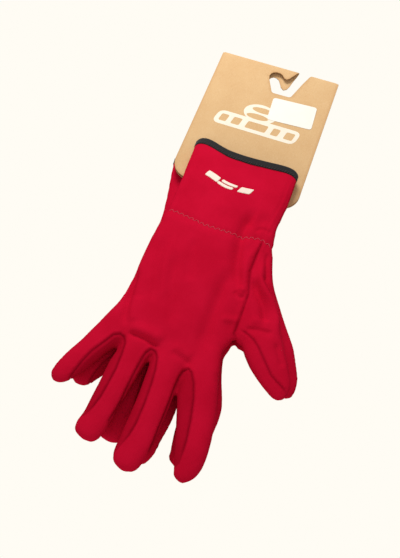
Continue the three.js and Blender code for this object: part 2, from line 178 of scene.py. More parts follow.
SIDE_SEAM = [(42, -110), (42, -128.6), (40.8, -137), (39.2, -149), (38.1, -160)]
# Each strip between two fingers: its seam on the little finger's side, then the other one.
STRIPS = [
    ([(-51.9, -302.6), (-51.1, -299), (-49.1, -292.6), (-47, -286.2), (-44.3, -279.5), (-41, -273.9),
      (-37.7, -268.4), (-35.2, -264), (-31.4, -261.9), (-28.2, -263), (-26.4, -267), (-25.2, -275.4),
      (-24.8, -285.1), (-25.7, -295.9), (-26.8, -304.6), (-29.3, -312.9), (-32, -319.2)], (-50, -322)),
    ([(-16.4, -318), (-15, -309), (-14, -301.9), (-13.4, -293.5), (-12.7, -283.6), (-11.7, -274),
      (-10.6, -267.6), (-8.6, -264.4), (-5.6, -265), (-2.8, -268.6), (-0.6, -276.2), (0.6, -286.2),
      (1.2, -299.6), (0.8, -312.9), (-0.7, -320.6), (-3.4, -328.4)], (-10, -345)),
    ([(14, -328), (14.6, -318), (15, -303.2), (15, -292.6), (14.8, -281.7), (15.2, -274.6),
      (16.2, -270.4), (18.6, -268.4), (21.8, -270.2), (26, -276.7), (29.3, -285.9), (32, -298.3),
      (33.9, -310.7), (34.6, -325.5)], (22, -345)),
]
# The line between each two fingers, from the crotch down.
GAPS = [[(-30, -269), (-36.5, -289), (-50, -322)],
        [(-8.3, -271), (-8.4, -290), (-9.8, -310), (-12, -345)],
        [(16.5, -279), (18.5, -300), (24, -345)]]
# The parts of the (x, z) plane that hold the thumb, its inner panel, and the left glove's thumb.
THUMB_AREA = [(36.4, -150)] + THUMB_SEAM + [(47, -250), (62, -272), (110, -290), (110, -150)]
INNER_AREA = THUMB_INNER_SEAM + [(92, -264), (92, -280), (60, -280), (43.4, -246), (41.6, -238)]
LEFT_THUMB_AREA = [(40, -150), (36, -190), (42, -240), (62, -285), (130, -300), (130, -150)]

# Soft folds on the back of the hand: their line, half width above and below, and height.
FOLDS = [
    ([(-28.5, -254.6), (-18, -254.8), (-8, -256.2), (-3, -258)], 4.2, 3.2, 1.0),
    ([(-27.9, -259.2), (-23, -258.9), (-17.9, -259.1), (-12.8, -259.4), (-8.1, -260.6), (-3.2, -262.1)],
     0.9, 2.2, -1.0),
    ([(-39, -212), (-38.4, -221), (-37, -230.9), (-35.8, -238.4), (-34.3, -245.4), (-32.1, -252.2),
      (-30.6, -257)], 2.2, 3.4, -1.1),
    ([(-31, -232), (-29, -243), (-26, -252)], 4.0, 4.0, 0.5),
    ([(3.5, -261.1), (9.6, -262.6), (15.7, -264), (20.5, -265.3)], 1.6, 2.6, -0.4),
    ([(4, -257), (11, -258.5), (19, -261)], 3.0, 3.0, 0.4),
    ([(-29.6, -182), (-27.9, -199.7), (-25.6, -211.1), (-22.1, -221.7), (-20.6, -236)], 3.6, 3.6, -0.55),
    ([(-26.4, -184), (-22.6, -203.5), (-19, -216.6), (-14.2, -232)], 3.6, 3.6, 0.4),
    ([(-17.1, -192), (-13.9, -210.8), (-10.5, -221.3), (-5.3, -234.8), (-2.1, -248)], 4.0, 4.0, -0.6),
    ([(-9.6, -178), (-6.3, -197.5), (-2.2, -213)], 3.6, 3.6, -0.45),
    ([(23.7, -140), (21.6, -156.5), (21.5, -165), (23.3, -176.9), (25.7, -188.2), (29.9, -198.7),
      (33, -208)], 2.6, 5.0, -1.7),
    ([(29.6, -206.6), (32.6, -209.2), (35, -209.8), (37, -208.2)], 1.2, 1.8, -0.5),
    ([(31, -203), (34.5, -204.6), (37, -203.6)], 1.8, 1.6, 0.5),
    ([(21.6, -190), (21.4, -209.6), (21.2, -221.3), (21.1, -232.7), (21.5, -243.6), (23.2, -256)],
     4.4, 5.4, -1.3),
    ([(32.6, -168), (31.6, -176), (31.2, -187), (32.4, -196), (34.4, -205), (35.4, -216)], 2.0, 2.4, 0.7),
    ([(40.2, -178), (42.6, -189), (45.4, -195.6), (49.6, -200.6), (54, -204.2), (58.6, -209.6),
      (62.8, -217), (67, -227)], 2.2, 2.4, 1.2),
    ([(38.8, -193), (43.2, -201), (48, -206.6), (52, -212), (55, -219), (56.6, -226)], 3.0, 3.0, -1.5),
    ([(44.4, -189), (49.4, -194.4), (53.6, -198.6), (57.6, -203.6)], 1.2, 1.2, -0.9),
    ([(42.2, -170.4), (43.6, -177.3), (46.7, -186.7), (49.4, -193.9)], 1.2, 1.8, -0.8),
    ([(43.4, -230.6), (49.4, -229), (53.4, -228.2), (59.1, -227.8), (64, -226.8)], 1.3, 3.0, -0.6),
    ([(46, -224), (53, -222.4), (60, -221)], 3.0, 2.6, 0.5),
    ([(27, -229), (33, -227.6), (40, -226)], 2.4, 2.4, 0.6),
    ([(28.8, -240), (34, -257.1), (37.2, -269.9)], 4.0, 4.0, 0.4),
    ([(28.2, -159.6), (31.5, -155.8), (35.8, -155.1), (40.1, -156.9)], 1.6, 1.6, -0.4),
    ([(38, -145), (30, -150), (24, -158)], 5.0, 5.0, -0.6),
    ([(-34, -110), (-32, -130), (-33, -150)], 5.0, 5.0, 0.35),
    ([(0, -112), (4, -135), (2, -156)], 9.0, 9.0, 0.35),
    ([(67, -232), (72, -240), (77, -247)], 1.6, 2.0, -0.6),
]
SEAM_WIDTH = 0.8
RIDGE_AWAY = 2.0  # the cloth swells on both sides of a seam, this far from it
PUCKER_PITCH = 4.6
GATHER_PITCH = 4.1  # the elastic's gathers round the wrist
# Soft folds on the palm: their line, half width and height.
PALM_FOLDS = [
    ([(-35, -250), (-10, -244), (20, -248), (38, -252)], 3.0, -0.6),
    ([(-34, -212), (-10, -205), (12, -196), (30, -176)], 3.4, -0.6),
    ([(30, -236), (18, -214), (16, -190), (24, -172)], 3.6, -0.7),
]

# The left glove hangs behind, turned about a point, with its digits lying a little differently.
LEFT_TURN = {"about": (0, -222), "angle": 4.9, "shift": (-1, -3)}
LEFT_LIE = {"pinky": (-3, 0.72), "ring": (3.5, 0.84), "middle": (-6.5, 0.86), "index": (-17.4, 0.83),
            "thumb": (4, 1)}  # swing in degrees, stretch
LEFT_THUMB_OUT = (0, 4, 6, 6.5, 6.5, 6, 5.8, 3.2, 1.2, 0)  # its outer side lies further out
LEFT_CUFF_OUT = (4, 4, 3, 1.5)  # and its cuff flares at the hem
# Two points on each digit: where its bend would start, and where it would follow its own body.
BENDS = {
    "pinky": ((-41.5, -265), (-49, -281)),
    "ring": ((-19, -271.5), (-22, -290)),
    "middle": ((4, -280), (4, -299)),
    "index": ((30, -280), (34, -299)),
    "thumb": ((44, -215), (64, -226)),
}


# ---- small geometry helpers ----

def smooth(value, low, high):
    t = np.clip((value - low) / (high - low), 0, 1)
    return t * t * (3 - 2 * t)


def between(along, start, full, fading, end):
    """1 along the middle of a line, easing to 0 at both its ends."""
    return smooth(along, start, full) * smooth(-along, -end, -fading)


def height_on(line, x):
    """The z of a line of (x, z) points, at x."""
    return np.interp(x, *zip(*line))


def spline(stations, per_step):
    """A smooth curve through rows of numbers."""
    s = np.array(stations, float)
    s = np.vstack([2 * s[0] - s[1], s, 2 * s[-1] - s[-2]])
    rows = []
    for i in range(1, len(s) - 2):
        for t in np.arange(per_step) / per_step:
            a = 2 * s[i]
            b = s[i + 1] - s[i - 1]
            c = 2 * s[i - 1] - 5 * s[i] + 4 * s[i + 1] - s[i + 2]
            d = -s[i - 1] + 3 * s[i] - 3 * s[i + 1] + s[i + 2]
            rows.append(0.5 * (a + b * t + c * t * t + d * t ** 3))
    rows.append(s[-2])
    return np.array(rows)


def to_line(points, line):
    """Distance to a line of (x, z) points, the side (+ on its left), the share along it, its length."""
    line = np.array(line, float)
    best = np.full(len(points), 1e9)
    side = np.zeros(len(points))
    along = np.zeros(len(points))
    lengths = np.hypot(*np.diff(line, axis=0).T)
    done = 0.0
    for a, b, length in zip(line, line[1:], lengths):
        d = (b - a) / length
        rel = points - a
        t = np.clip(rel @ d, 0, length)
        off = rel - t[:, None] * d
        distance = np.hypot(off[:, 0], off[:, 1])
        near = distance < best
        best[near] = distance[near]
        side[near] = np.sign(d[0] * rel[near, 1] - d[1] * rel[near, 0])
        along[near] = done + t[near]
        done += length
    return best, side, along / done, done


def inside(points, outline):
    """Signed distance to a closed outline, positive inside."""
    loop = np.array(list(outline) + [outline[0]], float)
    distance = to_line(points, loop)[0]
    x, z = points.T
    within = np.zeros(len(points), bool)
    for (x1, z1), (x2, z2) in zip(loop, loop[1:]):
        if z1 == z2:
            continue
        within ^= ((z1 > z) != (z2 > z)) & (x < (x2 - x1) * (z - z1) / (z2 - z1) + x1)
    return np.where(within, distance, -distance)


def corners_to_normals(points, tris):
    a, b, c = (points[tris[:, k]] for k in range(3))
    face = np.cross(b - a, c - a)
    normals = np.zeros_like(points)
    for k in range(3):
        for axis in range(3):
            normals[:, axis] += np.bincount(tris[:, k], face[:, axis], len(points))
    return normals / np.maximum(np.linalg.norm(normals, axis=1), 1e-12)[:, None]


def relax(points, edges, rounds, factor):
    """Laplacian smoothing of points, or of any value kept for each point."""
    count = np.bincount(edges.ravel(), minlength=len(points)).astype(float)
    for _ in range(rounds):
        total = np.zeros_like(points)
        for axis in range(points.shape[1]):
            total[:, axis] = (np.bincount(edges[:, 0], points[edges[:, 1], axis], len(points))
                              + np.bincount(edges[:, 1], points[edges[:, 0], axis], len(points)))
        points = points + factor * (total / count[:, None] - points)
    return points


def corner_pairs(tris):
    """The three edges of each triangle, in its own direction."""
    return np.vstack([tris[:, [0, 1]], tris[:, [1, 2]], tris[:, [2, 0]]])


def tri_edges(tris):
    return np.unique(np.sort(corner_pairs(tris), axis=1), axis=0)


def open_edges(tris, count):
    """The edges that have a triangle on one side only."""
    pairs = corner_pairs(tris)
    key = np.array([count, 1])
    return pairs[~np.isin(pairs @ key, pairs[:, ::-1] @ key)]


def filled(loops, spots, mode):
    """Points and faces between closed loops, by way of loose spots."""
    line, edges = [], []
    for loop in loops:
        start = len(line)
        line += loop
        edges += [(start + k, start + (k + 1) % len(loop)) for k in range(len(loop))]
    corners = [Vector(p) for p in [*line, *spots]]
    verts, _, faces, _, _, _ = delaunay_2d_cdt(corners, edges, [], mode, 1e-5)
    return verts, faces


def closed_sheet(faces, count):
    """A sheet's faces, the same faces on its other side, count points later, and the rim between."""
    directed = {(f[k], f[(k + 1) % len(f)]) for f in faces for k in range(len(f))}
    rim = sorted((j, i, i + count, j + count) for i, j in directed if (j, i) not in directed)
    return faces + [tuple(i + count for i in reversed(f)) for f in faces] + rim


def lumps(points, size, seed, stretch=(1, 1, 1)):
    """Smooth low noise between about -1 and 1: a few seeded waves in all directions."""
    rng = np.random.default_rng(seed)
    total = np.zeros(len(points))
    waves = 14
    for _ in range(waves):
        direction = rng.normal(size=3)
        direction /= np.linalg.norm(direction)
        pitch = size * rng.uniform(0.7, 1.6)
        phase = (points / np.array(stretch)) @ direction * 2 * math.pi / pitch
        total += np.sin(phase + rng.uniform(0, 6.28))
    return total / math.sqrt(waves)


# ---- objects ----

def make_object(name, points, faces, material, normals=None, fields=None):
    """A mesh object from points in the card's frame, with smooth normals of its own."""
    mesh = bpy.data.meshes.new(name)
    mesh.from_pydata((np.asarray(points) + CARD_ORIGIN) * MM, [], np.asarray(faces).tolist()
                     if isinstance(faces, np.ndarray) else faces)
    mesh.update()
    mesh.polygons.foreach_set("use_smooth", np.ones(len(mesh.polygons), bool))
    if normals is not None:
        mesh.normals_split_custom_set_from_vertices([tuple(n) for n in normals])
    for key, values in (fields or {}).items():
        kind = "FLOAT" if np.ndim(values) == 1 else "FLOAT_VECTOR"
        layer = mesh.attributes.new(key, kind, "POINT")
        layer.data.foreach_set("value" if kind == "FLOAT" else "vector",
                               np.asarray(values, np.float32).ravel())
    mesh.materials.append(material)
    obj = bpy.data.objects.new(name, mesh)
    bpy.context.scene.collection.objects.link(obj)
    return obj


def finish_piece(obj, body, nodes=(), blend=None):
    if blend:
        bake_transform(obj)
    else:
        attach(obj, body)
    if nodes:
        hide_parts(*nodes)
    return obj


def row_point(x, y, z):
    return tuple((np.array([x, y, z]) + CARD_ORIGIN) * MM)


def sweep(line, ups, radius, sides=5):
    """A round thread along a line of points. Returns its points and faces."""
    line = np.asarray(line, float)
    run = np.vstack([line[1:], line[-1:]]) - np.vstack([line[:1], line[:-1]])
    run /= np.maximum(np.linalg.norm(run, axis=1), 1e-9)[:, None]
    across = np.cross(run, ups)
    across /= np.maximum(np.linalg.norm(across, axis=1), 1e-9)[:, None]
    up = np.cross(across, run)
    turns = np.arange(sides) * 2 * math.pi / sides
    rings = (line[:, None] + radius * (np.cos(turns)[None, :, None] * across[:, None]
                                       + np.sin(turns)[None, :, None] * up[:, None]))
    points = rings.reshape(-1, 3)
    n = len(line)
    faces = []
    for i in range(n - 1):
        j = i + 1
        for k in range(sides):
            m = (k + 1) % sides
            faces.append((i * sides + k, j * sides + k, j * sides + m, i * sides + m))
    faces.append(tuple(range(sides)))
    faces.append(tuple((n - 1) * sides + k for k in reversed(range(sides))))
    return points, faces


def joined(parts):
    points, faces, shift = [], [], 0
    for p, f in parts:
        points.append(p)
        faces.extend(tuple(i + shift for i in face) for face in f)
        shift += len(p)
    return np.vstack(points), faces


# ---- materials ----

class Nodes:
    """A material's node tree, with short ways to add to it."""

    def __init__(self, name):
        self.material = bpy.data.materials.new(name)
        self.material.use_nodes = True
        self.tree = self.material.node_tree
        self.shader = self.tree.nodes["Principled BSDF"]

    def add(self, kind, values=(), **settings):
        node = self.tree.nodes.new(kind)
        for key, value in settings.items():
            setattr(node, key, value)
        for key, value in dict(values).items():
            if isinstance(value, bpy.types.NodeSocket):
                self.tree.links.new(value, node.inputs[key])
            else:
                node.inputs[key].default_value = value
        return node

    def set(self, **values):
        for key, value in values.items():
            socket = self.shader.inputs[key.replace("_", " ")]
            if isinstance(value, bpy.types.NodeSocket):
                self.tree.links.new(value, socket)
            else:
                socket.default_value = value

    def math(self, operation, a, b=0.0, c=0.0, clamp=False):
        node = self.add("ShaderNodeMath", {0: a, 1: b, 2: c}, operation=operation, use_clamp=clamp)
        return node.outputs[0]

    def mix(self, share, a, b):
        node = self.add("ShaderNodeMix", {0: share, 6: a, 7: b}, data_type="RGBA")
        return node.outputs[2]

    def noise(self, place, scale, detail=2.0, roughness=0.5):
        return self.add("ShaderNodeTexNoise", {"Vector": place, "Scale": scale, "Detail": detail,
                                               "Roughness": roughness}).outputs["Fac"]

    def bump(self, height, strength, distance, under=None):
        values = {"Height": height, "Strength": strength, "Distance": distance}
        if under is not None:
            values["Normal"] = under
        return self.add("ShaderNodeBump", values).outputs["Normal"]

    def field(self, name):
        return self.add("ShaderNodeAttribute", attribute_name=name)

    def place(self):
        return self.add("ShaderNodeTexCoord").outputs["Object"]

    def above(self, value, threshold, gain):
        """How far a value is above a threshold, from 0 to 1."""
        return self.math("MULTIPLY", self.math("SUBTRACT", value, threshold), gain, clamp=True)


def linear(red, green, blue):
    """A colour given in 0 to 255 display values."""
    parts = [((c / 255 + 0.055) / 1.055) ** 2.4 if c > 10 else c / 3294 for c in (red, green, blue)]
    return (*parts, 1.0)


def knit_material(name, colour, dark, pale):
    """Fine brushed jersey: columns of small loops, a soft nap, and painted shade in its seams' grooves."""
    n = Nodes(name)
    place = n.field("cloth_place").outputs["Vector"]
    seam = n.field("seam").outputs["Fac"]
    split = n.add("ShaderNodeSeparateXYZ", {"Vector": place})
    u, v = split.outputs[0], split.outputs[2]
    wobble = n.noise(place, 0.25, 3.0)
    column = n.math("SINE", n.math("MULTIPLY", n.math("ADD", u, wobble), 2 * math.pi / 0.8))
    loop = n.math("SINE", n.math("ADD", n.math("MULTIPLY", v, 2 * math.pi / 0.9),
                                 n.math("MULTIPLY", n.math("ABSOLUTE", column), 2.2)))
    knit = n.math("MULTIPLY", n.math("ADD", column, n.math("MULTIPLY", loop, 0.6)), 0.3)
    nap = n.noise(place, 2.2, 6.0, 0.7)
    patches = n.noise(place, 0.05, 3.0)
    height = n.math("ADD", knit, n.math("MULTIPLY", nap, 0.8))
    tone = n.mix(n.above(patches, 0.3, 1.6), dark, colour)
    tone = n.mix(n.above(nap, 0.5, 0.5), tone, pale)
    # painted shade in the seams' grooves: the deeper the groove in the seam field, the darker
    painted_seam_shade = tuple(0.35 * c for c in dark[:3]) + (1.0,)
    tone = n.mix(n.math("MULTIPLY", seam, 0.55, clamp=True), tone, painted_seam_shade)
    n.set(Base_Color=tone, Roughness=0.86, IOR=1.03)
    n.set(Normal=n.bump(height, 0.32, 0.00025))
    return n.material


RED = knit_material("red_knit", linear(212, 18, 55), linear(196, 13, 46), linear(228, 50, 84))
# a darker copy of the red knit for the strips between the fingers: painted shade where they lie between the
# digits
SHADED_SIDE_RED = knit_material("red_knit_side", linear(190, 13, 46), linear(174, 10, 38), linear(208, 40, 70))


def cord_like(name, colour, lit, scale, roughness):
    """Woven tape or thread: a fine ribbed bump over mottled colour, with a painted highlight on the ribs'
    crests.
    """
    n = Nodes(name)
    place = n.place()
    ribs = n.add("ShaderNodeTexWave", {"Vector": place, "Scale": scale, "Distortion": 1.5, "Detail": 2.0},
                 bands_direction="X")
    grain = n.noise(place, scale * 3, 4.0, 0.6)
    # the lit colour on the ribs' crests is a painted highlight
    n.set(Base_Color=n.mix(n.math("MULTIPLY", grain, ribs.outputs["Fac"]), colour, lit), Roughness=roughness,
          Sheen_Weight=0.2, Sheen_Roughness=0.5, Specular_IOR_Level=0.25)
    n.set(Normal=n.bump(n.math("ADD", ribs.outputs["Fac"], grain), 0.5, 0.0003))
    return n.material


BINDING = cord_like("black_binding", linear(14, 13, 15), linear(48, 46, 50), 900, 0.8)
BLACK_THREAD = cord_like("black_thread", linear(44, 42, 46), linear(88, 86, 92), 2400, 0.6)
PINK_THREAD = cord_like("red_thread", linear(214, 44, 76), linear(236, 104, 128), 2400, 0.6)
ELASTIC = cord_like("elastic", linear(150, 12, 34), linear(190, 30, 56), 700, 0.8)


def kraft_material():
    """Unbleached board: long pale and dark fibres, soft mottling, and darker brown in a thin band along its
    edges and round its holes.
    """
    n = Nodes("kraft_board")
    place = n.place()
    stretched = n.add("ShaderNodeMapping", {"Vector": place, "Scale": (1.0, 1.0, 0.28)}).outputs[0]
    fibres = n.noise(stretched, 2600, 5.0, 0.75)
    flecks = n.noise(place, 900, 4.0, 0.8)
    mottle = n.noise(place, 45, 4.0, 0.55)
    edge = n.field("edge").outputs["Fac"]
    tone = n.mix(mottle, linear(212, 169, 119), linear(227, 190, 141))
    tone = n.mix(n.above(fibres, 0.48, 2.2), tone, linear(234, 206, 164))
    tone = n.mix(n.above(flecks, 0.58, 3.0), tone, linear(172, 124, 78))
    # darker brown within about a millimetre of the card's edges and holes
    tone = n.mix(n.math("MULTIPLY", edge, 0.5), tone, linear(196, 148, 98))
    n.set(Base_Color=tone, Roughness=0.82, Specular_IOR_Level=0.25)
    n.set(Normal=n.bump(n.math("ADD", fibres, n.math("MULTIPLY", mottle, 2.0)), 0.3, 0.0002))
    return n.material


def paper_material(name, colour, shade, roughness, coat=0.0, scale=1500):
    n = Nodes(name)
    place = n.place()
    grain = n.noise(place, scale, 4.0, 0.7)
    patch = n.noise(place, 120, 3.0)
    n.set(Base_Color=n.mix(n.math("MULTIPLY", n.math("ADD", grain, patch), 0.5), shade, colour),
          Roughness=roughness, Specular_IOR_Level=0.35, Coat_Weight=coat, Coat_Roughness=0.35)
    n.set(Normal=n.bump(grain, 0.15, 0.0001))
    return n.material


KRAFT = kraft_material()
LABEL_PAPER = paper_material("label_paper", linear(252, 250, 244), linear(240, 236, 226), 0.5, 0.15)
CARD_INK = paper_material("white_ink", linear(253, 248, 236), linear(242, 228, 204), 0.6, 0.0, 3000)
CUFF_INK = paper_material("cuff_ink", linear(255, 244, 228), linear(246, 222, 206), 0.5, 0.1, 2500)
PIN_PLASTIC = paper_material("tag_pin", linear(238, 238, 234), linear(224, 224, 220), 0.35, 0.2)


# ---- one glove's cloth ----

def tube(rows, ys, halves, sides, power):
    """A closed tube: each row is its two sides, flattened by a superellipse."""
    turns = np.arange(sides) * 2 * math.pi / sides
    c, s = np.cos(turns), np.sin(turns)
    across = np.sign(c) * np.abs(c) ** (2 / power)
    deep = np.sign(s) * np.abs(s) ** (2 / power)
    points = []
    for (xl, zl, xr, zr), y, half in zip(rows, ys, halves):
        mid, arm = np.array([(xl + xr) / 2, (zl + zr) / 2]), np.array([(xr - xl) / 2, (zr - zl) / 2])
        flat = mid + across[:, None] * arm
        points.append(np.column_stack([flat[:, 0], y + deep * half, flat[:, 1]]))
    n = len(points)
    faces = []
    for i in range(n - 1):
        for k in range(sides):
            m = (k + 1) % sides
            faces.append((i * sides + k, i * sides + m, (i + 1) * sides + m, (i + 1) * sides + k))
    faces.append(tuple(reversed(range(sides))))
    faces.append(tuple((n - 1) * sides + k for k in range(sides)))
    return np.vstack(points), faces


def digit_rows(digit):
    """A digit's stations, the last of them its tip."""
    return np.array(digit["sides"] + [digit["tip"] * 2], float)


def digit_axis(rows):
    """Where a digit leaves the hand, and the way it points."""
    root = (rows[2, :2] + rows[2, 2:]) / 2
    axis = rows[-1, :2] - root
    return root, axis / np.hypot(*axis)


def digit_tube(digit):
    rows = spline(digit_rows(digit), 7)
    width = np.hypot(rows[:, 2] - rows[:, 0], rows[:, 3] - rows[:, 1]) / 2
    full = np.median(width)
    share = np.clip(width / full, 0.02, 1)
    inner = smooth(np.arange(len(rows)), -6, 18)
    slack = smooth(np.arange(len(rows)) / len(rows), 0.45, 1.0)  # an empty tip lies flatter
    halves = digit["half"] * share ** 0.6 * (0.8 + 0.2 * inner) * (1 - 0.36 * slack)
    rows[-1, :2] += (-0.4, 0)
    rows[-1, 2:] += (0.4, 0)
    return tube(rows, np.full(len(rows), DIGIT_MIDDLE), halves, 36, 2.3)


def hand_tube(flare=()):
    stations = np.array(HAND)
    stations[:len(flare), 0] -= flare
    rows = spline(stations, 5)
    return tube(rows[:, :4], rows[:, 4], rows[:, 5], 72, 2.7)


def relaid(digit, lie):
    """A digit swung in the glove's plane, and shortened, by more the further from its base."""
    swing, stretch = lie
    rows = digit_rows(digit)
    root, axis = digit_axis(rows)

    def move(p, share):
        along = max(0.0, (p - root) @ axis)
        p = p + (stretch - 1) * along * axis
        a = math.radians(swing) * share
        x, z = p - root
        return root + (x * math.cos(a) - z * math.sin(a), x * math.sin(a) + z * math.cos(a))

    out = []
    for i, row in enumerate(rows):
        share = float(smooth(i, 1.0, 5.0))
        out.append(tuple(move(row[:2], share)) + tuple(move(row[2:], share)))
    return {**digit, "sides": out[:-1], "tip": out[-1][:2]}


def voxel_union(points, faces):
    """One skin round all the tubes, as quads cut to triangles."""
    mesh = bpy.data.meshes.new("tubes")
    mesh.from_pydata(points * MM, [], faces)
    obj = bpy.data.objects.new("tubes", mesh)
    bpy.context.scene.collection.objects.link(obj)
    remesh = obj.modifiers.new("skin", "REMESH")
    remesh.mode = "VOXEL"
    remesh.voxel_size = VOXEL * MM
    depsgraph = bpy.context.evaluated_depsgraph_get()
    result = bpy.data.meshes.new_from_object(obj.evaluated_get(depsgraph))
    co = np.empty(len(result.vertices) * 3)
    result.vertices.foreach_get("co", co)
    result.calc_loop_triangles()
    tris = np.empty(len(result.loop_triangles) * 3, int)
    result.loop_triangles.foreach_get("vertices", tris)
    bpy.data.objects.remove(obj)
    return co.reshape(-1, 3) / MM, tris.reshape(-1, 3)


def cut(tris, values, key):
    """Splits the triangles that a field's zero line crosses, so that it runs along edges.
    values holds a row of numbers for each point: all of them are carried to the new points."""
    f = values[key]
    f[np.abs(f) < 0.12] = 0
    s = np.sign(f[tris])
    crossed = (s.min(1) < 0) & (s.max(1) > 0)
    work = tris[crossed]
    pairs = corner_pairs(work)
    split = f[pairs[:, 0]] * f[pairs[:, 1]] < 0
    edges, back = np.unique(np.sort(pairs[split], axis=1), axis=0, return_inverse=True)
    a, b = edges.T
    t = f[a] / (f[a] - f[b])
    count = len(f)
    for name, v in values.items():
        w = t if v.ndim == 1 else t[:, None]
        values[name] = np.concatenate([v, v[a] * (1 - w) + v[b] * w])
    values[key][count:] = 0
    middle = np.full(len(pairs), -1)
    middle[split] = count + back.ravel()
    mids = middle.reshape(3, -1).T
    fresh = []
    for (p, q, r), (pq, qr, rp) in zip(work.tolist(), mids.tolist()):
        alone = (pq >= 0) + (qr >= 0) + (rp >= 0) == 2
        while (qr >= 0) == alone:
            p, q, r, pq, qr, rp = q, r, p, qr, rp, pq
        if alone:
            fresh += [(p, pq, rp), (pq, q, r), (pq, r, rp)]
        else:
            fresh += [(p, q, qr), (p, qr, r)]
    return np.vstack([tris[~crossed], np.array(fresh, int).reshape(-1, 3)])


def shape_fields(points):
    """Every field that the cloth is cut along, at each point."""
    flat = points[:, [0, 2]]
    v = {"hem": points[:, 2] - height_on(HEM, points[:, 0]),
         "wrist": points[:, 2] - height_on(WRIST, points[:, 0]),
         "mid": points[:, 1] - MID_PLANE}
    distance, side, _, _ = to_line(flat, FINGERS_START)
    v["fingers"] = -distance * side
    for k, (seam, below) in enumerate(STRIPS):
        v[f"strip{k}"] = inside(flat, seam + [below])
    v["thumb"] = inside(flat, THUMB_AREA)
    v["inner"] = inside(flat, INNER_AREA)
    return v


def seam_distances(points, normals):
    """For each seam: how far off it is along the cloth, the share along it, its length and depth,
    and how much of it there is at each point."""
    flat = points[:, [0, 2]]
    facing = np.maximum(np.abs(normals[:, 1]), 0.3)
    upright = np.maximum(np.hypot(normals[:, 0], normals[:, 2]), 0.3)
    front = smooth(-normals[:, 1], -0.2, 0.25)
    everywhere = np.ones(len(points))
    drawn = [(seam, 0, 0.75, everywhere) for seam, _ in STRIPS]
    drawn += [(THUMB_SEAM, 0, 0.9, everywhere), (THUMB_INNER_SEAM, 0, 0.6, front)]
    drawn += [(SIDE_SEAM, shift, 0.16, front) for shift in (0, 3.2)]
    seams = []
    for line, shift, depth, where in drawn:
        d, _, along, length = to_line(flat + (shift, 0), line)
        seams.append((d / facing, along, length, depth, where))
    edge = np.abs(points[:, 1] - MID_PLANE) / upright
    seams.append((edge, points[:, 2] / 300 % 1, 300.0, 0.14, everywhere))
    return seams


def displacement(points, normals, seed):
    """How far the cloth stands out at each point, and how deep in a seam it is; that depth darkens the
    cloth's colour as painted shade.
    """
    flat = points[:, [0, 2]]
    front = smooth(-normals[:, 1], 0.1, 0.6)
    palm = smooth(normals[:, 1], 0.1, 0.6)
    total = np.zeros(len(points))
    for line, above, below, height in FOLDS:
        line = spline(line, 5)
        d, side, along, _ = to_line(flat, line)
        width = np.where(side > 0, above, below)
        ends = between(along, -0.02, 0.22, 0.78, 1.02)
        total += front * FOLD_STRENGTH * height * ends * np.exp(-(d / width) ** 2)
    for line, width, height in PALM_FOLDS:
        d, _, along, _ = to_line(flat, spline(line, 5))
        ends = between(along, 0, 0.25, 0.75, 1)
        total += palm * height * ends * np.exp(-(d / width) ** 2)
    calm = 1 - 0.75 * palm
    broad = 0.28 * calm * lumps(points, 34, seed, (1, 1, 1.6))
    total += broad + 0.1 * calm * lumps(points, 13, seed + 1, (1, 1, 1.8))
    deep = np.zeros(len(points))
    for k, (d, along, length, depth, where) in enumerate(seam_distances(points, normals)):
        ends = between(along, -0.02, 0.05, 0.9, 1.02)
        waver = 1.7 * np.sin(along * 23 + k)
        pucker = 1 + 0.35 * np.sin(along * length * 2 * math.pi / PUCKER_PITCH + waver)
        groove = np.exp(-(d / SEAM_WIDTH) ** 2) * ends * where
        ridge = np.exp(-(d - RIDGE_AWAY) ** 2) * ends * where
        total += -depth * groove + 0.32 * depth * pucker * ridge
        # deep becomes the seam field, which paints shade into the grooves' colour
        deep = np.maximum(deep, groove * smooth(depth, 0.1, 0.6))
    wrist = points[:, 2] - height_on(WRIST, points[:, 0])
    around = points[:, 0] - points[:, 1] * np.sign(normals[:, 0])
    total -= 0.4 * np.exp(-(wrist / 1.9) ** 2)
    gathers = np.sin(around * 2 * math.pi / GATHER_PITCH) + 0.5 * np.sin(around * 2 * math.pi / 9.7 + 1)
    total += 0.12 * gathers * np.exp(-(np.abs(wrist) / 5) ** 1.5) + 0.25 * np.exp(-((wrist + 6) / 3) ** 2)
    return total, deep


def glove_cloth(lie, seed):
    """The whole skin of a glove where the right one hangs: its points and triangles."""
    tubes = [hand_tube(LEFT_CUFF_OUT if lie else ())]
    for name, digit in DIGITS.items():
        if lie and name == "thumb":
            wider = [(a, b, c + 0.87 * out, d + 0.49 * out)
                     for (a, b, c, d), out in zip(digit["sides"], LEFT_THUMB_OUT)]
            digit = {**digit, "sides": wider}
        tubes.append(digit_tube(relaid(digit, lie[name]) if lie else digit))
    points, tris = voxel_union(*joined(tubes))
    edges = tri_edges(tris)
    points = relax(points, edges, 6, 0.6)
    for _ in range(8):
        points = relax(points, edges, 1, 0.6)
        points = relax(points, edges, 1, -0.61)
    return points, tris


def gap_lines(z):
    """The x of the line between each two fingers, at a height."""
    return [np.interp(-z, [-low for _, low in gap], [x for x, _ in gap]) for gap in GAPS]


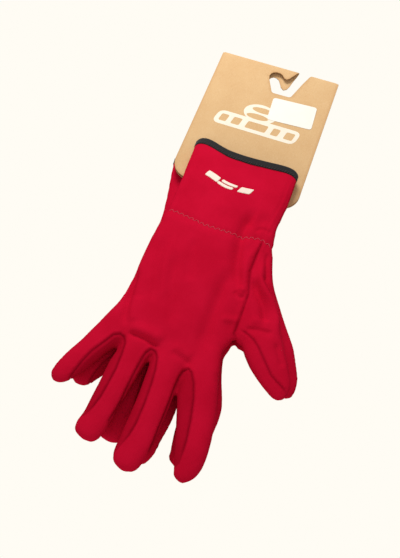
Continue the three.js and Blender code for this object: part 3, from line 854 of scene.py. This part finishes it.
def seam_map(points, lie):
    """Points of a relaid glove, moved back to where the seams and folds are drawn."""
    if not lie:
        return points
    out = points.copy()
    flat = points[:, [0, 2]]
    gaps = gap_lines(flat[:, 1])
    for k, (name, digit) in enumerate(DIGITS.items()):
        root, axis = digit_axis(digit_rows(digit))
        swing, stretch = lie[name]
        if name == "thumb":
            chosen = inside(flat, LEFT_THUMB_AREA) > 0
        else:
            low = gaps[k - 1] if k else np.full(len(flat), -1e3)
            high = gaps[k] if k < 3 else np.full(len(flat), 1e3)
            chosen = (flat[:, 0] >= low) & (flat[:, 0] < high) & (flat[:, 1] < -255)
        rel = flat - root
        share = smooth(rel @ axis, 0, 45)
        a = -np.radians(swing) * share
        x, z = rel.T
        back = np.column_stack([x * np.cos(a) - z * np.sin(a), x * np.sin(a) + z * np.cos(a)])
        along = np.maximum(back @ axis, 0)
        back = back + (along / stretch - along)[:, None] * axis
        for axis_in, axis_out in ((0, 0), (1, 2)):
            out[chosen, axis_out] = (back + root)[chosen, axis_in]
    return out


def piece_name(t, centre):
    """The panel that each triangle belongs to, from the fields t and its middle."""
    names = np.full(len(centre), "hand_palm", dtype="U40")
    back = t["mid"] < 0
    names[back] = "hand_back"
    for k in range(3):
        names[t[f"strip{k}"] > 0] = f"crotch_{k + 1}"
    finger = (centre[:, 0:1] > np.column_stack(gap_lines(centre[:, 2]))).sum(1)
    below = t["fingers"] > 0
    for k, name in enumerate(("pinky", "ring", "middle", "index")):
        mine = below & (finger == k)
        names[mine & back] = f"{name}_back"
        names[mine & ~back] = f"{name}_palm"
        if k < 3:
            names[mine & (t[f"strip{k}"] > 0)] = f"{name}_fourchette_thumb_side"
        if k > 0:
            names[mine & (t[f"strip{k - 1}"] > 0)] = f"{name}_fourchette_pinky_side"
    thumb = (t["thumb"] > 0) & ~below
    names[thumb & back & (t["inner"] <= 0)] = "thumb_back"
    names[thumb & (~back | (t["inner"] > 0))] = "thumb_palm"
    cuff = t["wrist"] > 0
    names[cuff & back] = "cuff_back"
    names[cuff & ~back] = "cuff_palm"
    names[t["hem"] > 0] = ""
    return names


STRAY_PATCH = 60  # triangles


def tidy_names(names, tris, count):
    """Gives small stray patches of a panel to the panel beside them."""
    for _ in range(3):
        owner = np.tile(np.arange(len(tris)), 3)
        key = np.sort(corner_pairs(tris), axis=1) @ np.array([count, 1])
        order = np.argsort(key, kind="stable")
        same = key[order][:-1] == key[order][1:]
        left, right = owner[order][:-1][same], owner[order][1:][same]
        joins = names[left] == names[right]
        label = np.arange(len(tris))
        while True:
            low = np.minimum(label[left[joins]], label[right[joins]])
            before = label.copy()
            np.minimum.at(label, left[joins], low)
            np.minimum.at(label, right[joins], low)
            label = label[label]
            if (label == before).all():
                break
        sizes = np.bincount(label, minlength=len(tris))[label]
        small = sizes < STRAY_PATCH
        if not small.any():
            break
        for a, b in ((left, right), (right, left)):
            swap = small[a] & ~small[b] & (names[a] != names[b])
            names[a[swap]] = names[b[swap]]
    return names


def shell(points, normals, tris, thickness):
    """A closed piece of cloth: the outer faces, the same faces inside, and a rim between them."""
    used, flat = np.unique(tris, return_inverse=True)
    outer = flat.reshape(-1, 3)
    n = len(used)
    p, m = points[used], normals[used]
    a, b = open_edges(outer, n).T
    faces = np.vstack([outer, outer[:, ::-1] + n])
    rim = np.column_stack([b, a, a + n, b + n])
    return np.vstack([p, p - thickness * m]), faces.tolist() + rim.tolist(), np.vstack([m, -m]), used


class Glove:
    """One glove's cloth, cut into panels and hung where it belongs."""

    def __init__(self, side):
        self.side = side
        self.left = side == "left"
        self.lie = LEFT_LIE if self.left else None
        self.cloth = {}
        seed = 23 if self.left else 5
        points, tris = glove_cloth(self.lie, seed)
        normals = corners_to_normals(points, tris)
        drawn = seam_map(points, self.lie)
        values = shape_fields(drawn)
        values["points"], values["drawn"] = points, drawn
        for key in ("hem", "wrist", "fingers", "strip0", "strip1", "strip2", "thumb", "inner", "mid"):
            tris = cut(tris, values, key)
        points, drawn = values["points"], values["drawn"]
        normals = corners_to_normals(points, tris)
        normals = relax(normals, tri_edges(tris), 2, 0.5)
        normals /= np.linalg.norm(normals, axis=1)[:, None]
        out, seam = displacement(drawn, normals, seed)
        out = np.maximum(out, np.where(normals[:, 1] > 0.5, -2.0, -9.0))
        points = points + out[:, None] * normals
        tri_fields = {k: v[tris].mean(1) for k, v in values.items() if v.ndim == 1}
        names = piece_name(tri_fields, drawn[tris].mean(1))
        names = tidy_names(names, tris, len(points))
        turn = np.sign(normals[:, 0]) * smooth(np.abs(normals[:, 0]), 0.2, 0.9)
        place = np.column_stack([drawn[:, 0] + turn * (points[:, 1] + 15), drawn[:, 1], drawn[:, 2]])
        points, normals, tris = self.hung(points), self.hung(normals, True), self.flipped(tris)
        keep = names != ""
        self.points, self.tris, self.names = points, tris[keep], names[keep]
        self.normals = corners_to_normals(points, self.tris)
        self.seam, self.place = seam, place
        self.bvh = BVHTree.FromPolygons(points.tolist(), self.tris.tolist())

    def hung(self, points, direction=False):
        """Moves points of the right glove to where this glove hangs."""
        points = np.array(points, float)
        if not self.left:
            return points
        a = math.radians(LEFT_TURN["angle"])
        about = np.zeros(2) if direction else np.array(LEFT_TURN["about"], float)
        shift = np.zeros(2) if direction else np.array(LEFT_TURN["shift"], float)
        x, z = (points[..., [0, 2]] - about).T
        points[..., 0] = x * math.cos(a) - z * math.sin(a) + about[0] + shift[0]
        points[..., 2] = x * math.sin(a) + z * math.cos(a) + about[1] + shift[1]
        points[..., 1] *= -1
        return points

    def flipped(self, faces):
        return faces[:, ::-1] if self.left else faces

    def outside(self, x, z, back=True):
        """The point on the glove's outer face at a drawn (x, z), and the way out there."""
        x1, _, z1 = self.hung(np.array([x, 0.0, z]))
        way = -1.0 if back != self.left else 1.0
        hit = self.bvh.ray_cast(Vector((x1, 40 * way, z1)), Vector((0, -way, 0)))
        return (np.array(hit[0]), np.array(hit[1])) if hit[0] is not None else (None, None)

    def body(self, name):
        return f"{self.side}_{name}"

    def make_panels(self):
        for name in sorted(set(self.names)):
            tris = self.tris[self.names == name]
            points, faces, normals, used = shell(self.points, self.normals, tris, CLOTH)
            # the seam field paints shade into the seams' grooves
            fields = {"seam": np.tile(self.seam[used], 2),
                      "cloth_place": np.tile(self.place[used], (2, 1))}
            strip = "fourchette" in name or "crotch" in name
            # strips between the digits take the darker copy of the knit, as painted shade
            obj = make_object(f"{self.side}_{name}_cloth", points, faces, SHADED_SIDE_RED if strip else RED,
                              normals, fields)
            digit = name.split("_")[0]
            blend = None
            if digit in DIGITS:
                start, end = (self.hung(np.array([x, MID_PLANE, z])) for x, z in BENDS[digit])
                blend = (self.body("hand"), self.body(digit), row_point(*start), row_point(*end))
            node = [] if "crotch" in name else [f"{self.side}_{name}"]
            finish_piece(obj, self.body("hand"), node, blend)
            self.cloth[name] = obj

    def declare_sheets(self, trims):
        """Goes through the panels without doing anything with them."""
        for name, obj in self.cloth.items():
            if "cuff" in name:
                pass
            elif "hand" in name:
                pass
            else:
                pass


# ---- camera, light and floor ----

CAMERA_LENS = 38.7
CAMERA_PLACE = (0.0607, -0.3936, -0.3469)
CAMERA_RIGHT = Vector((0.9386, 0.0011, 0.3449))
CAMERA_UP = Vector((-0.3178, -0.3855, 0.8662))
CAMERA_FORWARD = Vector((-0.1339, 0.9227, 0.3615))
# Each light: its place, what it points at, size, power and tint.
LIGHTS = {
    "key": ((-0.2, -0.4, 0.3), (0, 0, -0.12), 0.26, 3.2, (1.0, 0.98, 0.95)),
    "fill": ((0.1, -0.75, -0.3), (0, 0, -0.16), 0.7, 1.0, (0.97, 0.98, 1.0)),
    "rim": ((0.2, 0.8, 0.3), (0, 0, -0.16), 0.8, 5.0, (1.0, 1.0, 1.0)),
}


def camera_and_light():
    scene = bpy.context.scene
    scene.view_settings.view_transform = "Standard"
    camera = bpy.data.cameras.new("camera")
    camera.lens = CAMERA_LENS
    camera.sensor_width = 36
    camera.sensor_fit = "AUTO"
    obj = bpy.data.objects.new("camera", camera)
    rotation = Matrix((CAMERA_RIGHT, CAMERA_UP, -CAMERA_FORWARD)).transposed()
    obj.matrix_world = Matrix.Translation(CAMERA_PLACE) @ rotation.to_4x4()
    scene.collection.objects.link(obj)
    scene.camera = obj
    world = bpy.data.worlds.new("studio")
    world.use_nodes = True
    tree = world.node_tree
    back = tree.nodes["Background"]
    back.inputs["Color"].default_value = linear(255, 252, 244)
    seen = tree.nodes.new("ShaderNodeLightPath").outputs["Is Camera Ray"]
    strength = tree.nodes.new("ShaderNodeMapRange")
    strength.inputs["To Min"].default_value = AMBIENT
    strength.inputs["To Max"].default_value = 1.0
    tree.links.new(seen, strength.inputs["Value"])
    tree.links.new(strength.outputs["Result"], back.inputs["Strength"])
    scene.world = world
    for name, (place, target, size, power, tint) in LIGHTS.items():
        light = bpy.data.lights.new(name, "AREA")
        light.size = size
        light.energy = power
        light.color = tint
        lamp = bpy.data.objects.new(name, light)
        lamp.location = place
        aim = Vector(target) - Vector(place)
        lamp.rotation_euler = aim.to_track_quat("-Z", "Y").to_euler()
        scene.collection.objects.link(lamp)


def floor():
    material = paper_material("floor_paint", linear(255, 252, 244), linear(250, 247, 240), 0.9)
    shader = material.node_tree.nodes["Principled BSDF"]
    shader.inputs["Emission Color"].default_value = linear(255, 250, 240)
    shader.inputs["Emission Strength"].default_value = FLOOR_GLOW
    reach, down = 2000, -1200  # its half width, and its height below the fold
    flat = [(-reach, -reach, down), (reach, -reach, down), (reach, reach, down), (-reach, reach, down)]
    obj = make_object("floor", flat, [(0, 1, 2, 3)], material)


# ---- what is sewn and printed on a glove ----

def edge_loop(tris, points):
    """The cuff's open edge, as points in order round the mouth."""
    after = dict(open_edges(tris, len(points)).tolist())
    best = []
    while after:
        first = next(iter(after))
        loop = [first]
        while loop[-1] in after:
            loop.append(after.pop(loop[-1]))
        if len(loop) > len(best):
            best = loop
    return points[best[:-1]]


def even(loop, step):
    """A closed line of points, evenly spaced and eased."""
    loop = np.vstack([loop, loop[:1]])
    length = np.concatenate([[0], np.cumsum(np.linalg.norm(np.diff(loop, axis=0), axis=1))])
    count = int(length[-1] / step)
    at = np.arange(count) * length[-1] / count
    out = np.column_stack([np.interp(at, length, loop[:, k]) for k in range(3)])
    for _ in range(4):
        out = 0.5 * out + 0.25 * (np.roll(out, 1, 0) + np.roll(out, -1, 0))
    return out


def grid_faces(rows, columns, closed_rows=False, closed_columns=False):
    faces = []
    for i in range(rows if closed_rows else rows - 1):
        for j in range(columns if closed_columns else columns - 1):
            a, b = (i + 1) % rows, (j + 1) % columns
            faces.append((i * columns + j, i * columns + b, a * columns + b, a * columns + j))
    return faces


class Trim:
    """The hem's binding, the wrist's stitching and elastic, the print and the tag's pin."""

    def __init__(self, glove):
        self.glove = glove
        self.side = glove.side
        self.body = f"{glove.side}_hand"
        self.pieces = []

    def keep(self, obj, slot, nodes=()):
        finish_piece(obj, self.body, nodes)
        self.pieces.append(obj)

    def on_cloth(self, point, off):
        place, normal, _, _ = self.glove.bvh.find_nearest(Vector(point))
        return np.array(place) + off * np.array(normal)

    def binding(self):
        """A ribbed tape folded over the edge, gripping it inside and out."""
        glove = self.glove
        loop = even(edge_loop(glove.tris, glove.points), 1.0)
        depths = [5.0, 4.85, 4.2, 3.2, 2.1, 1.0, 0.2]  # below the hem
        offs = [0.05, 0.42, 0.62, 0.6, 0.58, 0.6, 0.62]  # out from the cloth
        down = glove.hung(np.array([0.03, 0.0, -1.0]), True)
        rows = []
        middle = loop.mean(0)
        for k, p in enumerate(loop):
            wave = 0.12 * math.sin(k * 0.31) + 0.1 * math.sin(k * 0.12 + 1)
            outer = [self.on_cloth(p + down * (depth + wave * (depth > 3)), off)
                     for depth, off in zip(depths, offs)]
            edge, normal, _, _ = glove.bvh.find_nearest(Vector(p + down * 0.4))
            way = np.array(normal)
            way[[0, 2]] -= down[[0, 2]] * (way @ down)
            way /= np.linalg.norm(way)
            centre = np.array(p) - way * CLOTH / 2
            arc = [centre + way * 1.05 * math.cos(t) - down * 0.85 * math.sin(t)
                   for t in (0.35, 0.9, 1.57, 2.24, 2.8)]
            inner = [q - way * (CLOTH + 2 * off + 0.02) for q, off in zip(outer[::-1], offs[::-1])]
            rows.append(outer + arc + inner)
        rows = np.array(rows)
        for _ in range(3):
            rows = 0.5 * rows + 0.25 * (np.roll(rows, 1, 0) + np.roll(rows, -1, 0))
        n, m = rows.shape[:2]
        points = rows.reshape(-1, 3)
        faces = np.array(grid_faces(n, m, True, True))
        centre = rows.mean(1)
        test = points[faces[0]]
        normal = np.cross(test[1] - test[0], test[3] - test[0])
        if normal @ (points[faces[0, 0]] - centre[0]) < 0:
            faces = faces[:, ::-1]
        obj = make_object(f"{self.side}_hem_tape", points, faces, BINDING)
        nodes = [f"{self.side}_hem_binding_back", f"{self.side}_hem_binding_palm"]
        self.keep(obj, "black_binding", nodes)
        stitches = []
        for k in range(0, n, 2):
            a, b = rows[k, 3], rows[(k + 1) % n, 1]
            out = np.cross(rows[(k + 1) % n, 3] - rows[k - 1, 3], rows[k, 1] - rows[k, 3])
            out /= np.linalg.norm(out)
            if out @ (rows[k, 3] - rows[k, 14]) < 0:
                out = -out
            lift = (0.02, 0.13, 0.15, 0.02)
            line = [a + (b - a) * t + out * h for t, h in zip((0.1, 0.35, 0.65, 0.95), lift)]
            stitches.append(sweep(line, out, 0.16))
        points, faces = joined(stitches)
        obj = make_object(f"{self.side}_hem_stitches", points, faces, BLACK_THREAD)
        self.keep(obj, "black_binding")

    def zigzag(self):
        """The thread that holds the elastic, in a zigzag all round the wrist."""
        lines = []
        leg = 2.05
        for back in (True, False):
            for k, x0 in enumerate(np.arange(-37.5, 43.5, leg)):
                rise = 1 if k % 2 else -1
                line, ups = [], []
                for share in (0.1, 0.37, 0.63, 0.9):
                    x = x0 + share * leg
                    z = height_on(WRIST, x) + rise * 1.1 * (2 * share - 1)
                    place, normal = self.glove.outside(x, z, back)
                    if place is None:
                        break
                    line.append(place + normal * (0.14 if 0.2 < share < 0.8 else -0.02))
                    ups.append(normal)
                if len(line) == 4:
                    lines.append(sweep(line, np.array(ups), 0.2))
        points, faces = joined(lines)
        obj = make_object(f"{self.side}_wrist_stitching", points, faces, PINK_THREAD)
        self.keep(obj, "red_knit_side")

    def film(self, outline, thick):
        """A thin print over the back of the cuff, cut to an outline of (x, z) points."""
        outline = [tuple(Vector(p)) for p in outline]
        (x0, z0), (x1, z1) = np.min(outline, axis=0), np.max(outline, axis=0)
        grid = [tuple(Vector((x, z))) for x in np.arange(x0, x1, 0.8) for z in np.arange(z0, z1, 0.8)]
        grid = np.array(grid)
        verts, faces = filled([outline], grid[inside(grid, outline) > 0.3], 1)
        outer, inner = [], []
        for v in verts:
            place, normal = self.glove.outside(v.x, v.y)
            outer.append(place + normal * thick)
            inner.append(place - normal * 0.15)
        outer_faces = [tuple(f) for f in faces]
        a, b, c = (np.array(outer[i]) for i in outer_faces[0][:3])
        _, way = self.glove.outside(verts[0].x, verts[0].y)
        if np.cross(b - a, c - a) @ way < 0:
            outer_faces = [f[::-1] for f in outer_faces]
        return np.array(outer + inner), closed_sheet(outer_faces, len(verts))

    def cuff_print(self):
        """Three plain slanting bars with rounded ends, the middle one split along its length."""
        parts = [self.film(outline, 0.12) for outline in cuff_bars()]
        points, faces = joined(parts)
        obj = make_object(f"{self.side}_cuff_bars", points, faces, CUFF_INK)
        self.keep(obj, "cuff_print", [f"{self.side}_cuff_print"])

    def elastic(self):
        """The ribbed elastic inside the back of the wrist."""
        glove = self.glove
        rows = []
        for x in np.arange(-30, 36.1, 0.8):
            ring = []
            for k, (dz, inward) in enumerate([(3, 1.15), (1, 1.15), (-1, 1.15), (-3, 1.15), (-3, 1.75),
                                              (-1, 1.85), (1, 1.85), (3, 1.75)]):
                place, normal = glove.outside(x, height_on(WRIST, x) + dz)
                rib = 0.12 * math.sin(x * 2 * math.pi / 1.6) if k > 3 else 0
                ring.append(place - normal * (inward + rib))
            rows.append(ring)
        rows = np.array(rows)
        n, m = rows.shape[:2]
        ends = [tuple(reversed(range(m))), tuple((n - 1) * m + k for k in range(m))]
        faces = grid_faces(n, m, False, True) + ends
        if not glove.left:
            faces = [f[::-1] for f in faces]
        obj = make_object(f"{self.side}_elastic_tape", rows.reshape(-1, 3), faces, ELASTIC)
        self.keep(obj, "elastic", [f"{self.side}_wrist_elastic"])

    def make(self):
        self.binding()
        self.zigzag()
        self.cuff_print()
        self.elastic()
        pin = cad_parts[f"{self.side}_tag_pin"]
        pin.data.materials.clear()
        pin.data.materials.append(PIN_PLASTIC)
        return self.pieces


def rounded(corners, radius, steps=5):
    """An outline with its corners rounded off."""
    out = []
    n = len(corners)
    for k in range(n):
        before, here, after = (np.array(corners[(k + d) % n], float) for d in (-1, 0, 1))
        to_a, to_b = before - here, after - here
        r = min(radius, np.hypot(*to_a) / 2.1, np.hypot(*to_b) / 2.1)
        a = here + to_a / np.hypot(*to_a) * r
        b = here + to_b / np.hypot(*to_b) * r
        for t in np.arange(steps + 1) / steps:
            out.append(tuple((1 - t) ** 2 * a + 2 * t * (1 - t) * here + t * t * b))
    return out


PRINT_ARC = [(-21.5, -124), (-15, -125.8), (-8, -128.7), (-2, -130.5), (6, -130.7), (12.5, -129.9),
             (19, -128.7)]


def cuff_bars():
    """Outlines of the cuff's print: plain slanting bars along a shallow arc."""
    bars = []
    slant = 0.9
    for x0, x1, low, high in ((-20.2, -9.6, -2.3, 2.3), (-8, 4.6, 0.35, 2.5), (-9.4, 3.2, -2.5, -0.35),
                              (7, 16.4, -2.6, 2.6)):
        edge = [(x, low) for x in np.linspace(x0, x1, 4)] + [(x, high) for x in np.linspace(x1, x0, 4)]
        bars.append(rounded([(x + slant * level / 2, height_on(PRINT_ARC, x) + level)
                             for x, level in edge], 1.1))
    return bars


# ---- the header card ----

BOARD = 0.6  # the board's thickness
CARD_SIDE, CARD_HEIGHT, CARD_CORNER = 50, 127, 14
FOLD_RADIUS = 1.5
FRONT_FACE = -(FOLD_RADIUS + BOARD / 2)  # the y of the front panel's outer face
FOLD_CENTRE = FRONT_FACE  # the z of the middle of the fold's curve
FOLD_ARC = math.pi * FOLD_RADIUS / 2
PANEL_BOW, PANEL_LENGTH = 0.10, 126
PIN_HOLE = 0.75
SLOT_SIDES = [(26.5, 0), (22, -11.6), (16.9, -26.8), (15.4, -27.8), (2.2, -28), (0.6, -27.2),
              (-5, -15.6)]
FRONT_SLOT = SLOT_SIDES + [(-6.1, -12), (-5.4, -9.4), (-3.8, -7.5), (-1.2, -6.5), (1.6, -6.6), (3.8, -7.6),
                           (5, -9), (6.6, -10.6), (8.4, -11), (10.4, -9.4), (12, -6.8), (16.3, 0)]
BACK_SLOT = SLOT_SIDES + [(-5.8, -13.4), (-4.6, -11), (-2.6, -9.7), (-0.4, -9.8), (2.2, -11.4), (4.2, -14.6),
                          (6, -18), (8.6, -20), (11, -18.4), (12.6, -14.4), (13.8, -8.4), (16.3, 0)]
LABEL = (22.6, -42.6, 36, 22, math.radians(3.2))  # its middle, width, height and tilt
PRINT_BAR = {"left": -34.2, "right": 33.6, "low": -71.2, "high": -57.8}
PRINT_WINDOWS = ((-30.6, -24.4), (-20.4, -13.4), (-8.6, 8.2), (12.4, 18.4), (23.2, 30.4))
PRINT_RING = (-1.2, -51.6, 13.6, 8.9)  # its middle, half width and half height


def flat_length(z):
    """How far along the board a height on a panel is from the middle of the fold."""
    return FOLD_ARC + (FOLD_CENTRE - z)


def bowed(v):
    """How far a panel bows inwards, v along it from the fold's middle."""
    return PANEL_BOW * math.sin((v - FOLD_ARC) / PANEL_LENGTH * math.pi)


def folded(x, v, layer):
    """A point of the board, v along it from the fold's middle, front below zero."""
    r = FOLD_RADIUS + layer
    if abs(v) <= FOLD_ARC:
        a = v / FOLD_RADIUS
        return (x, r * math.sin(a), FOLD_CENTRE + r * math.cos(a))
    curve = bowed(abs(v)) * (1 if v < 0 else -1)
    return (x, math.copysign(r, v) + curve, FOLD_CENTRE - (abs(v) - FOLD_ARC))


def dense(loop, step):
    """A closed loop with more points along its long edges."""
    out = []
    for a, b in zip(loop, loop[1:] + loop[:1]):
        steps = max(1, int(math.dist(a, b) / step))
        out += [(a[0] + (b[0] - a[0]) * t / steps, a[1] + (b[1] - a[1]) * t / steps) for t in range(steps)]
    return out


def card():
    """One board, folded over, with the peg's slot through both panels and the fold."""
    side, corner = CARD_SIDE, CARD_CORNER
    end = flat_length(-CARD_HEIGHT)

    def side_line(sign):
        line = []
        for t in np.arange(9) / 8:
            a = t * math.pi / 2
            reach = side - corner + corner * math.sin(a)
            line.append((sign * reach, end - corner + corner * math.cos(a)))
        return line

    right = side_line(1)
    left = side_line(-1)[::-1]
    outline = [(x, -v) for x, v in left + right] + [(x, v) for x, v in (right[::-1] + left[::-1])]
    front = [(x, -max(flat_length(z), 0.3)) for x, z in FRONT_SLOT]
    back = [(x, max(flat_length(z), 0.3)) for x, z in BACK_SLOT]
    holes = [front + back[::-1]]
    pins = [((5.3, -108), -1), (tuple(gloves["left"].hung(np.array([14.0, 0, -114.0]))[[0, 2]]), 1)]
    for (x, z), panel in pins:
        turns = np.arange(14) * 2 * math.pi / 14
        holes.append([(x + PIN_HOLE * math.cos(a), panel * (flat_length(z) + PIN_HOLE * math.sin(a)))
                      for a in turns])
    spots = []
    for x in np.arange(-side + 1.5, side, 3.0):
        fold_rows = np.arange(-FOLD_ARC, FOLD_ARC + 0.01, FOLD_ARC / 6)
        for v in list(fold_rows) + [s * (FOLD_ARC + 3 * k) for k in range(1, 42) for s in (-1, 1)]:
            spots.append((x, v))
    spots = np.array(spots)
    depth = inside(spots, outline)
    for loop in holes:
        depth = np.minimum(depth, -inside(spots, loop))
    spots = spots[depth > 0.5]
    rng = np.random.default_rng(3)
    spots = spots + rng.uniform(-0.05, 0.05, spots.shape) * (np.abs(spots[:, 1:2]) > FOLD_ARC + 0.1)
    flat, faces = filled([dense(loop, 2.5) for loop in [outline, *holes]], spots, 0)
    flat = np.array([tuple(p) for p in flat])
    faces = np.array([f for f in faces if len(f) == 3])
    centre = flat[faces].mean(1)
    keep = inside(centre, outline) > 0
    for loop in holes:
        keep &= inside(centre, loop) < 0
    faces = faces[keep]
    used, index = np.unique(faces, return_inverse=True)
    faces, flat = index.reshape(-1, 3), flat[used]
    n = len(flat)
    rim_distance = inside(flat, outline)
    for loop in holes:
        rim_distance = np.minimum(rim_distance, np.abs(inside(flat, loop)))
    edge = np.exp(-np.maximum(rim_distance, 0) / 0.7)
    layers = [np.array([folded(x, v, sign * BOARD / 2) for x, v in flat]) for sign in (1, -1)]
    lone = open_edges(faces, n)
    outer = faces
    if not is_outward(layers[0], faces):
        outer, lone = faces[:, ::-1], lone[:, ::-1]
    rim = [(b, a, a + n, b + n) for a, b in lone]
    all_faces = outer.tolist() + (outer[:, ::-1] + n).tolist() + rim
    obj = make_object("header_card", np.vstack(layers), all_faces, KRAFT, fields={"edge": np.tile(edge, 2)})
    obj.data.set_sharp_from_angle(angle=math.radians(40))
    finish_piece(obj, None, ["card_front_panel", "card_back_panel"],
                 ("card_front", "card_back", row_point(0, -1.2, 0), row_point(0, 1.2, 0)))


def is_outward(points, faces):
    """Whether a folded sheet's faces look away from the gap inside it."""
    a, b, c = (points[faces[:, k]] for k in range(3))
    normal = np.cross(b - a, c - a)
    return (normal[:, 1] * np.sign(a[:, 1])).sum() > 0


def plate(name, outline, lift, thick, material, nodes=(), bow=0.0, holes=()):
    """A thin flat shape lying on the front of the card, less the holes in it."""
    (x0, z0), (x1, z1) = np.min(outline, axis=0), np.max(outline, axis=0)
    grid = np.array([(x, z) for x in np.arange(x0, x1, 2) for z in np.arange(z0, z1, 2)])
    grid = grid[inside(grid, outline) > 0.4]
    for hole in holes:
        grid = grid[inside(grid, hole) < -0.4]
    verts, faces = filled([outline, *holes], grid, 1)
    centre = np.array([np.mean([verts[i] for i in face], axis=0) for face in faces])
    solid = np.ones(len(faces), bool)
    for hole in holes:
        solid &= inside(centre, hole) < 0
    faces = [face for face, kept in zip(faces, solid) if kept]
    used = sorted({i for face in faces for i in face})
    index = {old: new for new, old in enumerate(used)}
    faces = [tuple(index[i] for i in face) for face in faces]
    verts = [verts[i] for i in used]
    layers = []
    for extra in (0.0, thick):
        for v in verts:
            curl = bow * max(0.0, (v.y - z0) / (z1 - z0) - 0.6) * 2.5
            y = FRONT_FACE + bowed(flat_length(v.y)) - lift - extra - curl
            layers.append((v.x, y, v.y))
    a, b, c = (np.array(layers[i]) for i in faces[0][:3])
    if np.cross(b - a, c - a)[1] < 0:
        faces = [f[::-1] for f in faces]
    obj = make_object(name, np.array(layers), closed_sheet(faces, len(verts)), material)
    obj.data.set_sharp_from_angle(angle=math.radians(40))
    return finish_piece(obj, "card_front", nodes)


def slanted(low, high, z0, z1, lean, radius):
    """A rounded bar from z0 up to z1, its top leaning over."""
    corners = [(low - lean, z0), (high - lean, z0), (high + lean, z1), (low + lean, z1)]
    return rounded(corners, radius)


def oval(x, z, across, tall, steps=40):
    turns = np.arange(steps) * 2 * math.pi / steps
    return [(x + across * math.cos(a), z + tall * math.sin(a)) for a in turns]


def card_details():
    """The blank price label, and plain printed shapes where the card carries its own."""
    x0, z0, width, height, tilt = LABEL
    c, s = math.cos(tilt), math.sin(tilt)
    corners = [(x0 + x * c - z * s, z0 + x * s + z * c)
               for x, z in ((-width / 2, -height / 2), (width / 2, -height / 2), (width / 2, height / 2),
                            (-width / 2, height / 2))]
    plate("blank_label", rounded(corners, 2.5, 8), 0.08, 0.16, LABEL_PAPER, ["price_label"], 0.25)
    bar = slanted(PRINT_BAR["left"], PRINT_BAR["right"], PRINT_BAR["low"], PRINT_BAR["high"], 1.6, 5.5)
    windows = [slanted(low, high, PRINT_BAR["low"] + 3.2, PRINT_BAR["high"] - 3.2, 0.8, 1.4)
               for low, high in PRINT_WINDOWS]
    plate("card_bar", bar, 0.01, 0.05, CARD_INK, holes=windows)
    x, z, across, tall = PRINT_RING
    slots = [oval(x + side * across * 0.1, z + side * tall * 0.4, across * 0.66, tall * 0.3)
             for side in (-1, 1)]
    plate("card_ring", oval(x, z, across, tall), 0.015, 0.05, CARD_INK, holes=slots)


camera_and_light()
floor()
gloves = {side: Glove(side) for side in ("right", "left")}
for glove in gloves.values():
    glove.make_panels()
    glove.declare_sheets(Trim(glove).make())
card()
card_details()
